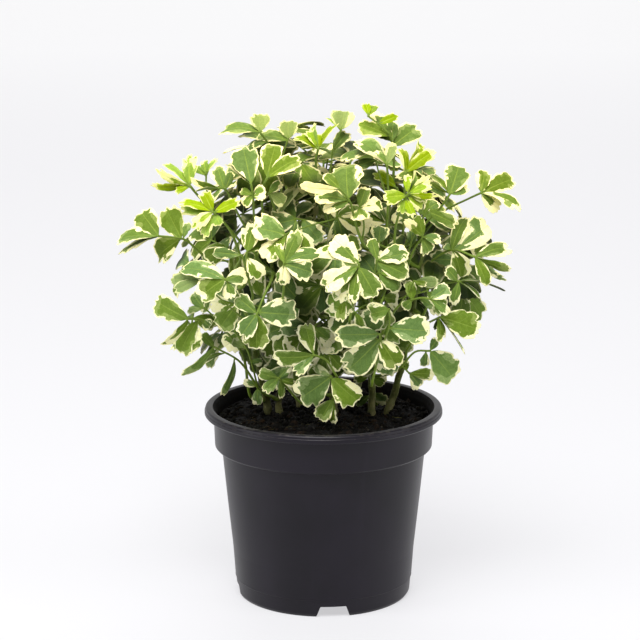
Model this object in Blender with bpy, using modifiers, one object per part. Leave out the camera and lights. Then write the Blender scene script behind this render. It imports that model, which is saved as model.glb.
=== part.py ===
"""Potted aralia: a variegated foliage plant in a black plastic nursery pot.

The pot stands on the plane z = 0 with its axis on Z; the viewer's side is -Y.
Sizes are in millimetres until a mesh is made, and then in metres.
"""
import math
import random

import bmesh
import bpy
import numpy as np
from mathutils import Vector, noise
from mathutils.bvhtree import BVHTree

MM = 0.001

# ---------------------------------------------------------------- pot sizes
RIM_R = 50.8               # outer radius of the rolled rim
COLLAR_R = 46.9            # outer radius of the collar under the rim
COLLAR_LOW = 64.9          # height where the collar steps in to the body
BODY_TOP_R = 43.45
FOOT_R = 38.1              # outer radius at the seam above the foot
SEAM_HIGH = 7.6
BASE_R = 36.6              # outer radius of the ring that the pot stands on
WALL = 1.15
FLOOR_LOW, FLOOR_TOP = 2.4, 3.6
SLOT_COUNT = 4             # drain slots through the foot
SLOT_FIRST = 6.3           # degrees to the right of the front
SLOT_TOP_W, SLOT_LOW_W, SLOT_HIGH = 10.9, 13.9, 4.7
HOLE_R = 1.8               # small drain holes in the floor
GAP = 0.35                 # clearance between the soil and the pot

LEAF_THICK = 0.7
POT_SIDES, SOIL_SIDES = 40, 24
STALK_R = 0.58

# ---------------------------------------------------------------- front view
# The crown is laid out in a front view: u runs right and v down, both from 0 to
# 640, seen from one metre in front and a little above. place() turns a point of
# that view, at a given distance in front of the pot's axis, into millimetres.
VIEW_X, VIEW_DIST, VIEW_HIGH = -1.5, 1000.0, 351.0
VIEW_PITCH = math.radians(13.03)
VIEW_FOCAL = 2422.0
VIEW_MID = 320.0
EYE = np.array([VIEW_X, -VIEW_DIST, VIEW_HIGH])
FWD = np.array([0.0, math.cos(VIEW_PITCH), -math.sin(VIEW_PITCH)])
UPV = np.array([0.0, math.sin(VIEW_PITCH), math.cos(VIEW_PITCH)])
RGT = np.array([1.0, 0.0, 0.0])
UP = np.array([0.0, 0.0, 1.0])

SOIL_TOP = 77.1            # mean height of the soil surface
POT_HIGH = 82.5            # height of the rim


def unit(a):
    a = np.asarray(a, float)
    return a / max(float(np.linalg.norm(a)), 1e-9)


def sight(u, v):
    return FWD + RGT * (u - VIEW_MID) / VIEW_FOCAL - UPV * (v - VIEW_MID) / VIEW_FOCAL


def place(u, v, ahead):
    d = sight(u, v)
    return EYE + d * ((VIEW_DIST - ahead) / d[1])


def dome(u, v):
    # how far the leaf canopy reaches in front of the axis at this point
    r2 = ((u - 322.0) / 205.0) ** 2 + ((v - 256.0) / 168.0) ** 2
    return 60.0 * max(1.0 - r2, 0.03) ** 0.75


def turn(a, axis, ang):
    axis = unit(axis)
    c, s = math.cos(ang), math.sin(ang)
    return a * c + np.cross(axis, a) * s + axis * float(axis @ a) * (1 - c)


def spline(pts, radii, per):
    # Catmull-Rom through the points, per steps for each span
    p = [np.asarray(q, float) for q in pts]
    q = [2 * p[0] - p[1]] + p + [2 * p[-1] - p[-2]]
    out, rad = [], []
    for i in range(len(p) - 1):
        a, b, c, d = q[i:i + 4]
        for k in range(per):
            t = k / per
            out.append(0.5 * (2 * b + (c - a) * t + (2 * a - 5 * b + 4 * c - d) * t * t + (3 * b - a - 3 * c + d) * t ** 3))
            rad.append(radii[i] * (1 - t) + radii[i + 1] * t)
    out.append(p[-1])
    rad.append(radii[-1])
    return out, rad


# ---------------------------------------------------------------- stems
# Each stem: name, then (u, v, ahead) points from the soil upward, then the
# radius at the soil and at the top.
STEMS = [
    ("stem_left_front", [(268, 415, None), (266, 398, -3), (258, 365, 8), (248, 325, 18), (239, 287, 21), (233, 250, 18)], 1.9, 0.8),
    ("stem_left_inner", [(280, 417, None), (279, 398, -5), (287, 357, 3), (291, 305, 9), (285, 255, 11), (282, 215, 8), (281, 185, 4)], 1.7, 0.7),
    ("stem_centre", [(333, 419, None), (333, 394, -3), (336, 352, 4), (338, 300, 8), (334, 250, 8), (332, 205, 3), (331, 172, 0)], 2.2, 0.8),
    ("stem_right_inner", [(371, 416, None), (372, 396, -6), (371, 347, 5), (374, 300, 14), (383, 250, 17), (389, 208, 12), (391, 182, 8)], 1.8, 0.8),
    ("stem_right_front", [(387, 414, None), (394, 394, -8), (405, 354, 2), (413, 310, 12), (420, 268, 15), (427, 236, 10)], 1.9, 0.8),
    ("stem_back_left", [(300, 408, None), (296, 385, -20), (284, 335, -30), (274, 285, -36), (270, 235, -33), (272, 195, -28)], 1.8, 0.8),
    ("stem_back_right", [(352, 408, None), (358, 385, -20), (372, 335, -30), (384, 285, -36), (388, 235, -34), (384, 195, -29)], 1.8, 0.8),
]
STEM_SOCKET = 11.0         # how far a stem runs down into the soil


def at_height(u, v, z):
    d = sight(u, v)
    return EYE + d * ((z - VIEW_HIGH) / d[2])


def stem_paths():
    out = []
    for name, pts, r0, r1 in STEMS:
        p = []
        for u, v, a in pts:
            p.append(at_height(u, v, SOIL_TOP) if a is None else place(u, v, a))
        root = p[0] + unit(p[0] - p[1]) * 2.0
        root[2] = SOIL_TOP - STEM_SOCKET
        p = [root] + p
        n = len(p)
        rad = [r0 * 1.05] + [r0 + (r1 - r0) * (i / (n - 2)) ** 0.8 for i in range(n - 1)]
        out.append((name,) + spline(p, rad, 2))
    return out


# ---------------------------------------------------------------- leaves
# Each compound leaf or side shoot: name, how far out in the canopy it sits
# (1 = on its surface), its stalks as lines of front-view points from the stem
# side outward, and its leaflets (u, v at the base, u, v at the tip, width in
# the same unit, kind). Kinds: g green, d deep green, y grey-green, c mostly
# cream, l young lime, p pale underside.
LEAVES = [
    ("leaf_front_centre", 1.08, [[(350, 318), (355, 293), (358, 275), (359, 264)], [(355, 293), (344, 300)]],
     [(355, 261, 317, 249, 15, "g"), (353, 259, 332, 238, 25, "c"), (356, 266, 323, 288, 22, "c"), (356, 269, 335, 301, 18, "g"),
      (357, 270, 353, 303, 12, "g"), (360, 267, 377, 297, 24, "g"), (340, 303, 339, 322, 12, "y"), (345, 302, 351, 314, 9, "c")]),
    ("leaf_front_low_right", 1.05, [[(374, 375), (379, 352), (380, 334)], [(379, 352), (389, 328), (389, 309)]],
     [(375, 331, 335, 334, 24, "g"), (377, 339, 346, 372, 30, "g"), (381, 340, 398, 367, 24, "c"), (389, 328, 430, 332, 30, "g"),
      (388, 307, 368, 315, 22, "g")]),
    ("leaf_front_low_left", 1.02, [[(272, 278), (264, 296), (257, 314)]],
     [(255, 313, 237, 295, 17, "d"), (257, 316, 240, 337, 20, "g"), (257, 317, 258, 350, 27, "g"), (260, 313, 298, 316, 30, "g")]),
    ("leaf_front_bottom", 1.0, [[(333, 402), (333, 388), (331, 376)]],
     [(329, 377, 299, 401, 34, "g"), (334, 377, 358, 403, 28, "g"), (331, 373, 313, 366, 9, "p"),
      (330, 399, 319, 421, 18, "d"), (335, 400, 333, 424, 9, "g")]),
    ("leaf_left_mid", 1.0, [[(250, 325), (238, 297), (225, 279)], [(250, 325), (216, 295), (201, 281)]],
     [(223, 277, 182, 267, 19, "g"), (222, 281, 198, 297, 24, "g"), (227, 278, 248, 274, 18, "c"), (225, 284, 232, 299, 14, "c"),
      (199, 280, 171, 280, 14, "p"), (198, 283, 174, 291, 9, "p")]),
    ("leaf_centre_left", 1.0, [[(281, 308), (284, 285), (284, 263)]],
     [(283, 261, 297, 229, 16, "g"), (283, 264, 281, 285, 15, "c"), (286, 264, 314, 272, 22, "g"), (286, 262, 321, 253, 15, "g"),
      (283, 259, 278, 243, 9, "g")]),
    ("leaf_centre_right", 1.0, [[(372, 298), (374, 278), (377, 260)]],
     [(379, 258, 408, 253, 20, "c"), (379, 262, 408, 277, 20, "g"), (376, 257, 372, 238, 12, "d")]),
    ("leaf_right_mid", 0.95, [[(415, 292), (425, 268), (451, 250), (475, 257)]],
     [(453, 247, 466, 216, 14, "d"), (456, 245, 489, 224, 30, "c"), (452, 252, 462, 280, 24, "c"), (451, 249, 444, 245, 7, "g"),
      (475, 256, 511, 247, 16, "g"), (478, 259, 510, 270, 9, "g"), (480, 261, 506, 281, 7, "g"), (476, 259, 486, 286, 13, "g")]),
    ("leaf_upper_centre", 0.95, [[(362, 242), (355, 222), (350, 202), (340, 189)], [(362, 242), (364, 224), (359, 208)]],
     [(349, 199, 345, 165, 34, "g"), (341, 189, 301, 184, 11, "c"), (338, 188, 324, 174, 10, "g"), (347, 201, 314, 196, 16, "g"),
      (347, 203, 323, 210, 12, "c"), (359, 206, 360, 221, 20, "y"), (361, 206, 382, 204, 15, "c"), (360, 204, 366, 186, 14, "d")]),
    ("shoot_lime_right", 1.0, [[(394, 248), (396, 225), (402, 206), (408, 194)]],
     [(404, 194, 382, 198, 16, "l"), (412, 195, 428, 196, 16, "l"), (408, 190, 408, 174, 9, "l"), (411, 190, 417, 172, 7, "l"),
      (413, 190, 429, 176, 10, "l"), (414, 192, 432, 186, 7, "l"), (416, 193, 437, 196, 8, "l"), (406, 198, 402, 215, 14, "l"),
      (412, 198, 423, 208, 12, "l"), (409, 200, 413, 217, 9, "l")]),
    ("shoot_lime_left", 0.98, [[(240, 255), (232, 234), (222, 220), (213, 212)]],
     [(209, 212, 181, 209, 14, "l"), (209, 210, 180, 202, 8, "l"), (211, 209, 203, 191, 14, "l"), (216, 210, 240, 201, 12, "l"),
      (210, 215, 192, 227, 14, "l"), (212, 217, 203, 238, 10, "l"), (215, 215, 220, 226, 11, "l")]),
    ("leaf_upper_left", 0.9, [[(262, 206), (262, 190), (267, 178)]],
     [(267, 177, 277, 143, 22, "g"), (269, 177, 300, 158, 18, "g"), (269, 180, 298, 172, 9, "g")]),
    ("leaf_upper_left_outer", 0.88, [[(255, 252), (254, 222), (253, 196), (251, 184)]],
     [(250, 183, 244, 147, 28, "g"), (250, 183, 228, 163, 10, "g"), (252, 196, 243, 205, 12, "g"), (254, 196, 266, 192, 14, "c"),
      (252, 195, 240, 191, 8, "g")]),
    ("leaf_left_upper_mid", 0.86, [[(252, 292), (246, 270), (247, 252)], [(246, 270), (242, 255)]],
     [(248, 250, 255, 222, 19, "g"), (249, 249, 268, 240, 12, "d"), (251, 257, 262, 278, 18, "c"), (241, 254, 213, 251, 12, "g"),
      (244, 268, 250, 252, 11, "g")]),
    ("leaf_right_low", 0.92, [[(388, 322), (400, 305), (420, 298), (430, 299)], [(400, 305), (408, 293), (414, 281)]],
     [(411, 298, 408, 280, 12, "g"), (412, 301, 403, 309, 11, "g"), (420, 299, 434, 308, 9, "g"), (431, 299, 450, 287, 16, "g"),
      (433, 301, 449, 313, 10, "g"), (418, 280, 438, 283, 12, "p"), (414, 277, 427, 285, 7, "g")]),
    ("leaf_left_outer", 0.9, [[(214, 266), (205, 257), (195, 248), (183, 239), (158, 236)]],
     [(182, 236, 167, 208, 25, "d"), (181, 240, 156, 257, 25, "g"), (159, 235, 141, 211, 25, "g"), (154, 236, 118, 239, 15, "g"),
      (152, 240, 120, 254, 12, "g"), (184, 236, 190, 223, 8, "y")]),
    ("leaf_left_low", 0.86, [[(240, 350), (222, 328), (200, 320), (188, 319)], [(222, 328), (212, 315), (204, 308)]],
     [(189, 318, 155, 302, 24, "g"), (198, 322, 181, 355, 22, "g"), (188, 321, 161, 344, 8, "g"), (203, 320, 211, 327, 13, "g"),
      (203, 306, 192, 293, 12, "d"), (202, 308, 187, 312, 8, "p")]),
    ("leaf_low_left_pair", 0.98, [[(334, 372), (326, 360), (314, 355)]],
     [(313, 352, 304, 322, 19, "g"), (312, 355, 273, 356, 17, "g"), (312, 357, 296, 375, 14, "g")]),
    ("leaf_low_left_small", 0.92, [[(300, 402), (289, 390), (279, 378)]],
     [(277, 379, 263, 391, 12, "g"), (281, 379, 296, 383, 9, "g"), (279, 380, 281, 399, 7, "g"), (281, 376, 291, 364, 10, "g"),
      (277, 374, 258, 372, 13, "g")]),
    ("leaf_right_lower_outer", 0.86, [[(412, 342), (424, 326), (440, 317)]],
     [(446, 316, 481, 331, 28, "g"), (437, 318, 437, 330, 8, "d"), (444, 319, 464, 353, 9, "g"), (440, 320, 440, 342, 9, "y")]),
    ("leaf_right_bottom", 0.88, [[(402, 366), (415, 352), (430, 351)], [(402, 366), (409, 373)]],
     [(433, 352, 456, 380, 30, "g"), (426, 351, 424, 367, 10, "g"), (430, 348, 437, 338, 9, "d"),
      (410, 372, 434, 373, 13, "d"), (411, 374, 421, 387, 15, "g"), (407, 371, 404, 360, 8, "g")]),
    ("leaf_basal_right", 0.04, [[(376, 404), (371, 392), (370, 376)]],
     [(373, 394, 388, 402, 12, "g"), (370, 395, 356, 405, 8, "g"), (372, 374, 386, 382, 14, "g"), (368, 374, 353, 380, 9, "g")]),
    ("leaf_top_right", 0.72, [[(393, 182), (394, 162), (393, 145), (389, 134)], [(389, 134), (378, 124), (368, 116)]],
     [(388, 137, 358, 124, 16, "g"), (390, 137, 371, 112, 13, "g"), (391, 142, 392, 120, 13, "g"), (390, 142, 378, 132, 9, "d"),
      (395, 146, 418, 127, 22, "g"), (368, 117, 366, 103, 10, "l"), (369, 115, 377, 105, 8, "l"), (380, 122, 398, 116, 9, "l")]),
    ("leaf_top_right_inner", 0.8, [[(386, 240), (388, 200), (387, 165)], [(388, 200), (378, 170), (375, 151)]],
     [(386, 164, 356, 140, 17, "g"), (389, 163, 393, 143, 12, "p"), (385, 164, 374, 152, 10, "g"), (374, 151, 340, 160, 12, "d"),
      (375, 160, 352, 168, 12, "d")]),
    ("shoot_lime_top", 0.85, [[(402, 240), (404, 208), (405, 173)], [(404, 208), (397, 188)]],
     [(406, 168, 402, 148, 9, "l"), (409, 169, 420, 141, 11, "l"), (412, 168, 434, 150, 14, "l"), (409, 171, 433, 166, 8, "l"),
      (394, 184, 374, 173, 12, "l"), (395, 187, 380, 184, 7, "l")]),
    ("leaf_top_centre", 0.7, [[(324, 197), (316, 166), (318, 149)], [(324, 197), (331, 165), (333, 150), (341, 130)]],
     [(316, 147, 294, 137, 10, "l"), (316, 146, 306, 131, 8, "l"), (318, 146, 318, 133, 7, "l"), (320, 147, 337, 124, 10, "l"),
      (317, 146, 313, 124, 8, "l"), (342, 128, 345, 111, 24, "p"), (340, 128, 327, 117, 6, "l"), (334, 151, 349, 132, 14, "y"),
      (331, 153, 302, 148, 8, "d")]),
    ("leaf_top_left", 0.62, [[(276, 178), (270, 148), (260, 132)], [(276, 178), (284, 152), (288, 139)]],
     [(257, 133, 220, 131, 15, "g"), (258, 131, 259, 114, 20, "p"), (286, 140, 257, 137, 13, "d"), (286, 136, 289, 120, 19, "p"),
      (266, 142, 252, 145, 7, "g")]),
    ("leaf_inner_left", 0.7, [[(289, 262), (285, 245), (283, 229), (276, 212), (269, 193)]],
     [(284, 229, 315, 203, 13, "d"), (288, 231, 314, 218, 9, "p"), (275, 229, 277, 214, 13, "g"), (269, 191, 286, 203, 14, "p"),
      (269, 190, 283, 183, 10, "d"), (285, 214, 300, 182, 13, "p")]),
    ("leaf_right_upper", 0.78, [[(402, 250), (412, 240), (427, 222), (441, 207), (450, 194)]],
     [(451, 191, 459, 164, 26, "g"), (453, 193, 468, 187, 11, "g"), (446, 189, 431, 175, 8, "g"), (446, 182, 421, 172, 7, "y")]),
    ("leaf_right_outer", 0.55, [[(414, 246), (430, 226), (444, 211), (468, 199), (481, 193)]],
     [(481, 190, 484, 170, 16, "g"), (485, 192, 514, 177, 20, "g"), (485, 196, 499, 211, 15, "c"), (487, 194, 523, 209, 12, "c")]),
    ("leaf_right_inner", 0.72, [[(406, 270), (414, 250), (423, 237)], [(406, 270), (412, 240), (428, 209)]],
     [(421, 235, 404, 221, 10, "y"), (423, 234, 418, 215, 11, "y"), (422, 239, 430, 253, 16, "g"), (429, 207, 438, 202, 10, "d"),
      (429, 212, 458, 225, 14, "g"), (409, 246, 411, 230, 11, "d"), (424, 233, 442, 241, 10, "y")]),
    ("leaf_right_mid_low", 0.7, [[(422, 318), (438, 288), (459, 281)]],
     [(461, 281, 504, 293, 9, "p"), (461, 282, 482, 301, 9, "y"), (457, 279, 445, 268, 12, "d"), (461, 284, 453, 305, 11, "d")]),
    ("leaf_upper_left_far", 0.78, [[(240, 218), (232, 202), (226, 190), (219, 188)]],
     [(225, 188, 216, 166, 16, "d"), (226, 188, 233, 172, 9, "d"), (219, 187, 190, 179, 8, "g"), (219, 189, 196, 192, 7, "g")]),
    ("shoot_lime_far_left", 0.8, [[(216, 214), (200, 198), (190, 186)], [(216, 214), (207, 192), (206, 174)]],
     [(188, 179, 190, 155, 15, "l"), (187, 183, 150, 186, 8, "l"), (186, 182, 156, 172, 9, "l"), (185, 180, 166, 162, 8, "l"),
      (189, 188, 175, 191, 8, "l"), (205, 176, 195, 167, 8, "l"), (206, 173, 204, 160, 8, "l"), (207, 175, 218, 158, 7, "l")]),
    ("leaf_left_lower", 0.74, [[(258, 388), (240, 362), (214, 347)], [(258, 388), (248, 352), (236, 334)]],
     [(212, 345, 203, 333, 10, "d"), (211, 348, 182, 376, 9, "g"), (224, 353, 196, 365, 8, "d"), (234, 360, 223, 395, 8, "g"),
      (235, 333, 229, 309, 14, "d"), (242, 350, 232, 340, 10, "p"), (250, 360, 263, 363, 9, "y"),
      (258, 388, 257, 406, 11, "g"), (257, 386, 243, 381, 8, "g")]),
]

# Shoots that fill the crown behind and inside, by direction from its centre:
# name, azimuth in degrees (0 at the viewer, 90 at the right), height angle,
# reach (1 = canopy surface), number of compound leaves, leaflets in each.
SHOOTS = [
    ("shoot_inner_lower", 8, -52, 0.56, 10, 4), ("shoot_inner_low_left", -44, -54, 0.66, 9, 4),
    ("shoot_inner_low_right", 58, -48, 0.62, 8, 4), ("shoot_inner_left", -58, -8, 0.55, 8, 4),
    ("shoot_inner_right", 56, -6, 0.55, 8, 4), ("shoot_inner_upper", 10, 40, 0.58, 10, 4),
    ("shoot_back_low", 180, -30, 0.84, 8, 4), ("shoot_back_left_low", -134, -24, 0.88, 6, 5),
    ("shoot_back_right_low", 138, -24, 0.88, 6, 5), ("shoot_back_mid", 176, 12, 0.95, 7, 5),
    ("shoot_back_left", -146, 24, 0.94, 6, 5), ("shoot_back_right", 146, 22, 0.94, 6, 5),
    ("shoot_side_left", -99, 2, 0.86, 6, 5), ("shoot_side_right", 100, 13, 0.84, 6, 5),
    ("shoot_back_top", 180, 54, 0.95, 6, 5), ("shoot_top", -100, 80, 0.95, 7, 5),
]
CROWN_MID = np.array([0.0, 0.0, 148.0])
CROWN_HALF = np.array([72.0, 64.0, 58.0])
PER_UNIT = 0.413           # millimetres per view unit at the axis


class World:
    """What has been placed so far, for keeping pieces clear of each other."""

    def __init__(self):
        self.lo, self.hi = np.zeros((6000, 3)), np.zeros((6000, 3))
        self.trees, self.owner = [], []

    def hits(self, verts, faces, skip=None, kinds=None):
        lo, hi = verts.min(0), verts.max(0)
        k = len(self.trees)
        near = np.nonzero(((self.lo[:k] <= hi) & (self.hi[:k] >= lo)).all(1))[0]
        near = [i for i in near if skip is None or not skip(self.owner[i])]
        if not near:
            return 0
        me = BVHTree.FromPolygons([tuple(v) for v in verts], faces)
        return sum(1 for i in near if me.overlap(self.trees[i]))

    def add(self, verts, faces, owner):
        k = len(self.trees)
        self.lo[k], self.hi[k] = verts.min(0), verts.max(0)
        self.trees.append(BVHTree.FromPolygons([tuple(v) for v in verts], faces))
        self.owner.append(owner)


class Cover:
    """How full the crown looks from five sides, as grids of small cells."""

    CELL = 2.6

    def __init__(self):
        self.g = np.zeros((5, 90, 90), bool)
        i = (np.arange(90) - 45) * self.CELL
        a, b = np.meshgrid(i, i, indexing="ij")
        self.want = np.zeros((5, 90, 90), bool)
        self.want[0] = ((a / 66) ** 2 + (b / 58) ** 2 < 1) | ((np.abs(a - 2) < 34) & (b < 0) & (b > -62))
        self.want[1] = (a / 64) ** 2 + (b / 56) ** 2 < 1
        self.want[2] = (a / 56) ** 2 + (b / 56) ** 2 < 1
        self.want[3] = self.want[2]
        self.want[4] = (a / 64) ** 2 + (b / 56) ** 2 < 1

    def spots(self, p):
        """(side, a, b) of a point on each side that sees it."""
        x, y, z = p - CROWN_MID
        d = p - EYE
        s = (VIEW_DIST / float(d @ FWD))
        out = [(0, float(d @ RGT) * s + VIEW_X, (float(d @ UPV) * s) + 5.0)]
        if y > 4:
            out.append((1, x, z))
        if x < -4:
            out.append((2, y, z))
        if x > 4:
            out.append((3, y, z))
        if z > 4:
            out.append((4, x, y))
        return out

    def cells(self, p, r):
        for side, a, b in self.spots(p):
            k = int(r / self.CELL) + 1
            i0, j0 = int(round(a / self.CELL)) + 45, int(round(b / self.CELL)) + 45
            for i in range(max(0, i0 - k), min(90, i0 + k + 1)):
                for j in range(max(0, j0 - k), min(90, j0 + k + 1)):
                    if math.hypot((i - 45) * self.CELL - a, (j - 45) * self.CELL - b) <= r:
                        yield side, i, j

    def mark(self, lf):
        for t in (0.35, 0.6, 0.85):
            for c in self.cells(lf["A"] * (1 - t) + lf["T"] * t, lf["W"] * 0.42):
                self.g[c] = True

    def gain(self, p, r):
        return sum(1.0 + 0.6 * (c[0] == 0) for c in self.cells(p, r) if self.want[c] and not self.g[c])


def tube(path, radii, sides=4, grow=0.0):
    # closed tube for clearance tests
    p = np.array(path)
    n = len(p)
    t = np.gradient(p, axis=0)
    verts = []
    a = np.cross(t[0], [0.3, 0.9, 0.2])
    for i in range(n):
        d = unit(t[i])
        a = unit(a - d * float(a @ d))
        b = np.cross(d, a)
        r = radii[i] + grow
        for k in range(sides):
            w = 2 * math.pi * k / sides
            verts.append(p[i] + (a * math.cos(w) + b * math.sin(w)) * r)
    faces = []
    for i in range(n - 1):
        for k in range(sides):
            k2 = (k + 1) % sides
            faces.append((i * sides + k, i * sides + k2, (i + 1) * sides + k2, (i + 1) * sides + k))
    faces.append(tuple(range(sides))[::-1])
    faces.append(tuple((n - 1) * sides + k for k in range(sides)))
    return np.array(verts), faces


# A leaflet's blade is a wedge at its base, widest at two thirds and blunt at
# its tip. rows() gives the few points of its plan, as (along, across).
WIDEST = 0.64
BIG = 7.4                  # leaflets wider than this (mm) get a midrib fold


def blade_points(lf, inset=0.0, shift=0.0):
    A, T, N, W = lf["A"], lf["T"], lf["N"], lf["W"]
    d = T - A
    L = float(np.linalg.norm(d))
    d = d / L
    w = np.cross(N, d)
    w = unit(w)
    n = np.cross(d, w)
    h = W / 2 + inset
    arch, fold = lf["arch"] * L, lf["fold"] * h

    def at(x, s, lift=0.0):
        return A + d * (x * L) + w * (s * h) + n * (arch * 4 * x * (1 - x) + abs(s) * fold + shift + lift)
    big = W >= BIG and not lf.get("plain")
    if big:
        pts = [at(0.0, 0), at(WIDEST, 1), at(0.92, 0.62), at(1.0, 0.0), at(0.92, -0.62), at(WIDEST, -1), at(WIDEST, 0)]
        tri = [(0, 6, 1), (1, 6, 2), (2, 6, 3), (3, 6, 4), (4, 6, 5), (5, 6, 0)]
    elif lf.get("plain"):
        pts = [at(0.0, 0), at(WIDEST + 0.06, 1), at(1.0, 0.0), at(WIDEST + 0.06, -1)]
        tri = [(0, 3, 1), (1, 3, 2)]
    else:
        pts = [at(0.0, 0), at(WIDEST, 1), at(1.0, 0.42), at(1.0, -0.42), at(WIDEST, -1)]
        tri = [(0, 4, 1), (1, 4, 3), (1, 3, 2)]
    return np.array(pts), tri, n


def blade_solid(lf, thick, inset=0.0, start=0.0):
    # closed plate around the blade, for clearance tests
    pts, tri, n = blade_points(lf, inset)
    if start:
        pts = pts.copy()
        pts[0] = pts[0] + (lf["T"] - lf["A"]) * start
    k = len(pts)
    ring = list(range(k - 1)) if len(tri) == 6 else list(range(k))
    v = np.concatenate([pts + n * thick / 2, pts - n * thick / 2])
    faces = [tuple(t) for t in tri] + [tuple(i + k for i in t[::-1]) for t in tri]
    for i, a in enumerate(ring):
        b = ring[(i + 1) % len(ring)]
        faces.append((a, b, b + k, a + k))
    return v, faces


def nearest_on(axes, u, v):
    # closest point of the stalk lines, in the front view
    best = None
    for ai, ax in enumerate(axes):
        for i in range(len(ax) - 1):
            a, b = np.array(ax[i], float), np.array(ax[i + 1], float)
            t = float(np.clip(((np.array([u, v]) - a) @ (b - a)) / max(float((b - a) @ (b - a)), 1e-6), 0, 1))
            dd = float(np.linalg.norm(a + (b - a) * t - np.array([u, v])))
            if best is None or dd < best[0] - 1e-6:
                best = (dd, ai, i, t)
    return best[1:]


def leaflet_from_view(A, spec, seed, lean, facing):
    """One leaflet whose base, tip and width are given in the front view."""
    bu, bv, tu, tv, wpx, kind = spec
    rnd = random.Random(seed)
    ahead = -float(A[1])
    B = place(bu, bv, ahead)
    flat_tip = place(tu, tv, ahead)
    span = flat_tip - B
    lp = float(np.linalg.norm(span))
    wp = wpx * PER_UNIT * (VIEW_DIST - ahead) / VIEW_DIST
    e = unit(span)
    N = unit(facing + e * lean)
    # tip on the plane through the base
    s = sight(tu, tv)
    t = float((B - EYE) @ N) / float(s @ N)
    tip = EYE + s * t
    dep = float(np.clip(tip[1] - B[1], -0.9 * lp, 0.9 * lp))
    # a blade seen short and broad points toward or away from the viewer
    if wp > 0.95 * lp:
        need = math.sqrt(max((0.98 * wp) ** 2 - lp * lp, 0.0))
        if need > abs(dep):
            dep = -need if (span[2] < 0 or rnd.random() < 0.35) else need
    tip = place(tu, tv, -(B[1] + dep))
    d = unit(tip - B)
    N = unit(N - d * float(N @ d))
    # a blade seen thin is on edge
    L = float(np.linalg.norm(tip - B))
    look = unit(B - EYE)
    ratio = wp / L
    if ratio < 0.42:
        ang = math.acos(min(1.0, ratio / 0.44))
        side = 1.0 if float(np.cross(d, N)[2]) * 0 + rnd.random() < 0.7 else -1.0
        Na, Nb = turn(N, d, ang), turn(N, d, -ang)
        N = (Na if Na[2] > Nb[2] else Nb) if side > 0 else (Nb if Na[2] > Nb[2] else Na)
    w = unit(np.cross(N, d))
    # width seen square to the leaflet's direction in the view
    across = w - look * float(w @ look)
    e2 = unit(d - look * float(d @ look))
    across = across - e2 * float(across @ e2)
    seen = max(float(np.linalg.norm(across)), 0.3)
    W = min(wp / seen, 1.0 * L + 1.0, 1.9 * wp)
    return dict(A=A + (B - A) * 0.0, B=B, T=tip, N=N, W=W, arch=rnd.uniform(0.03, 0.09), fold=rnd.uniform(0.10, 0.30),
                kind=kind, seed=seed)


def vary(lf, spread):
    """Small turns of a leaflet, the slightest first."""
    yield lf
    d = unit(lf["T"] - lf["A"])
    w = unit(np.cross(lf["N"], d))
    L = float(np.linalg.norm(lf["T"] - lf["A"]))
    for k in spread:
        for roll, pitch in ((0, k), (0, -k), (k, 0), (-k, 0), (k, k), (-k, k), (k, -k), (-k, -k)):
            c = dict(lf)
            N = turn(lf["N"], d, roll)
            T = lf["A"] + turn(lf["T"] - lf["A"], w, pitch)
            if lf.get("view"):
                T = place(lf["view"][2], lf["view"][3], -T[1])
            dd = unit(T - lf["A"])
            N = turn(N, w, pitch)
            c["T"], c["N"] = T, unit(N - dd * float(N @ dd))
            yield c


def arc_length(path):
    return sum(float(np.linalg.norm(b - a)) for a, b in zip(path, path[1:]))


def point_along(path, x):
    for a, b in zip(path, path[1:]):
        s = float(np.linalg.norm(b - a))
        if x <= s:
            return a + (b - a) * (x / max(s, 1e-9))
        x -= s
    return path[-1]


def shrink(lf, f):
    c = dict(lf)
    c["T"] = lf["A"] + (lf["T"] - lf["A"]) * f
    c["W"] = lf["W"] * f
    return c


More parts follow.
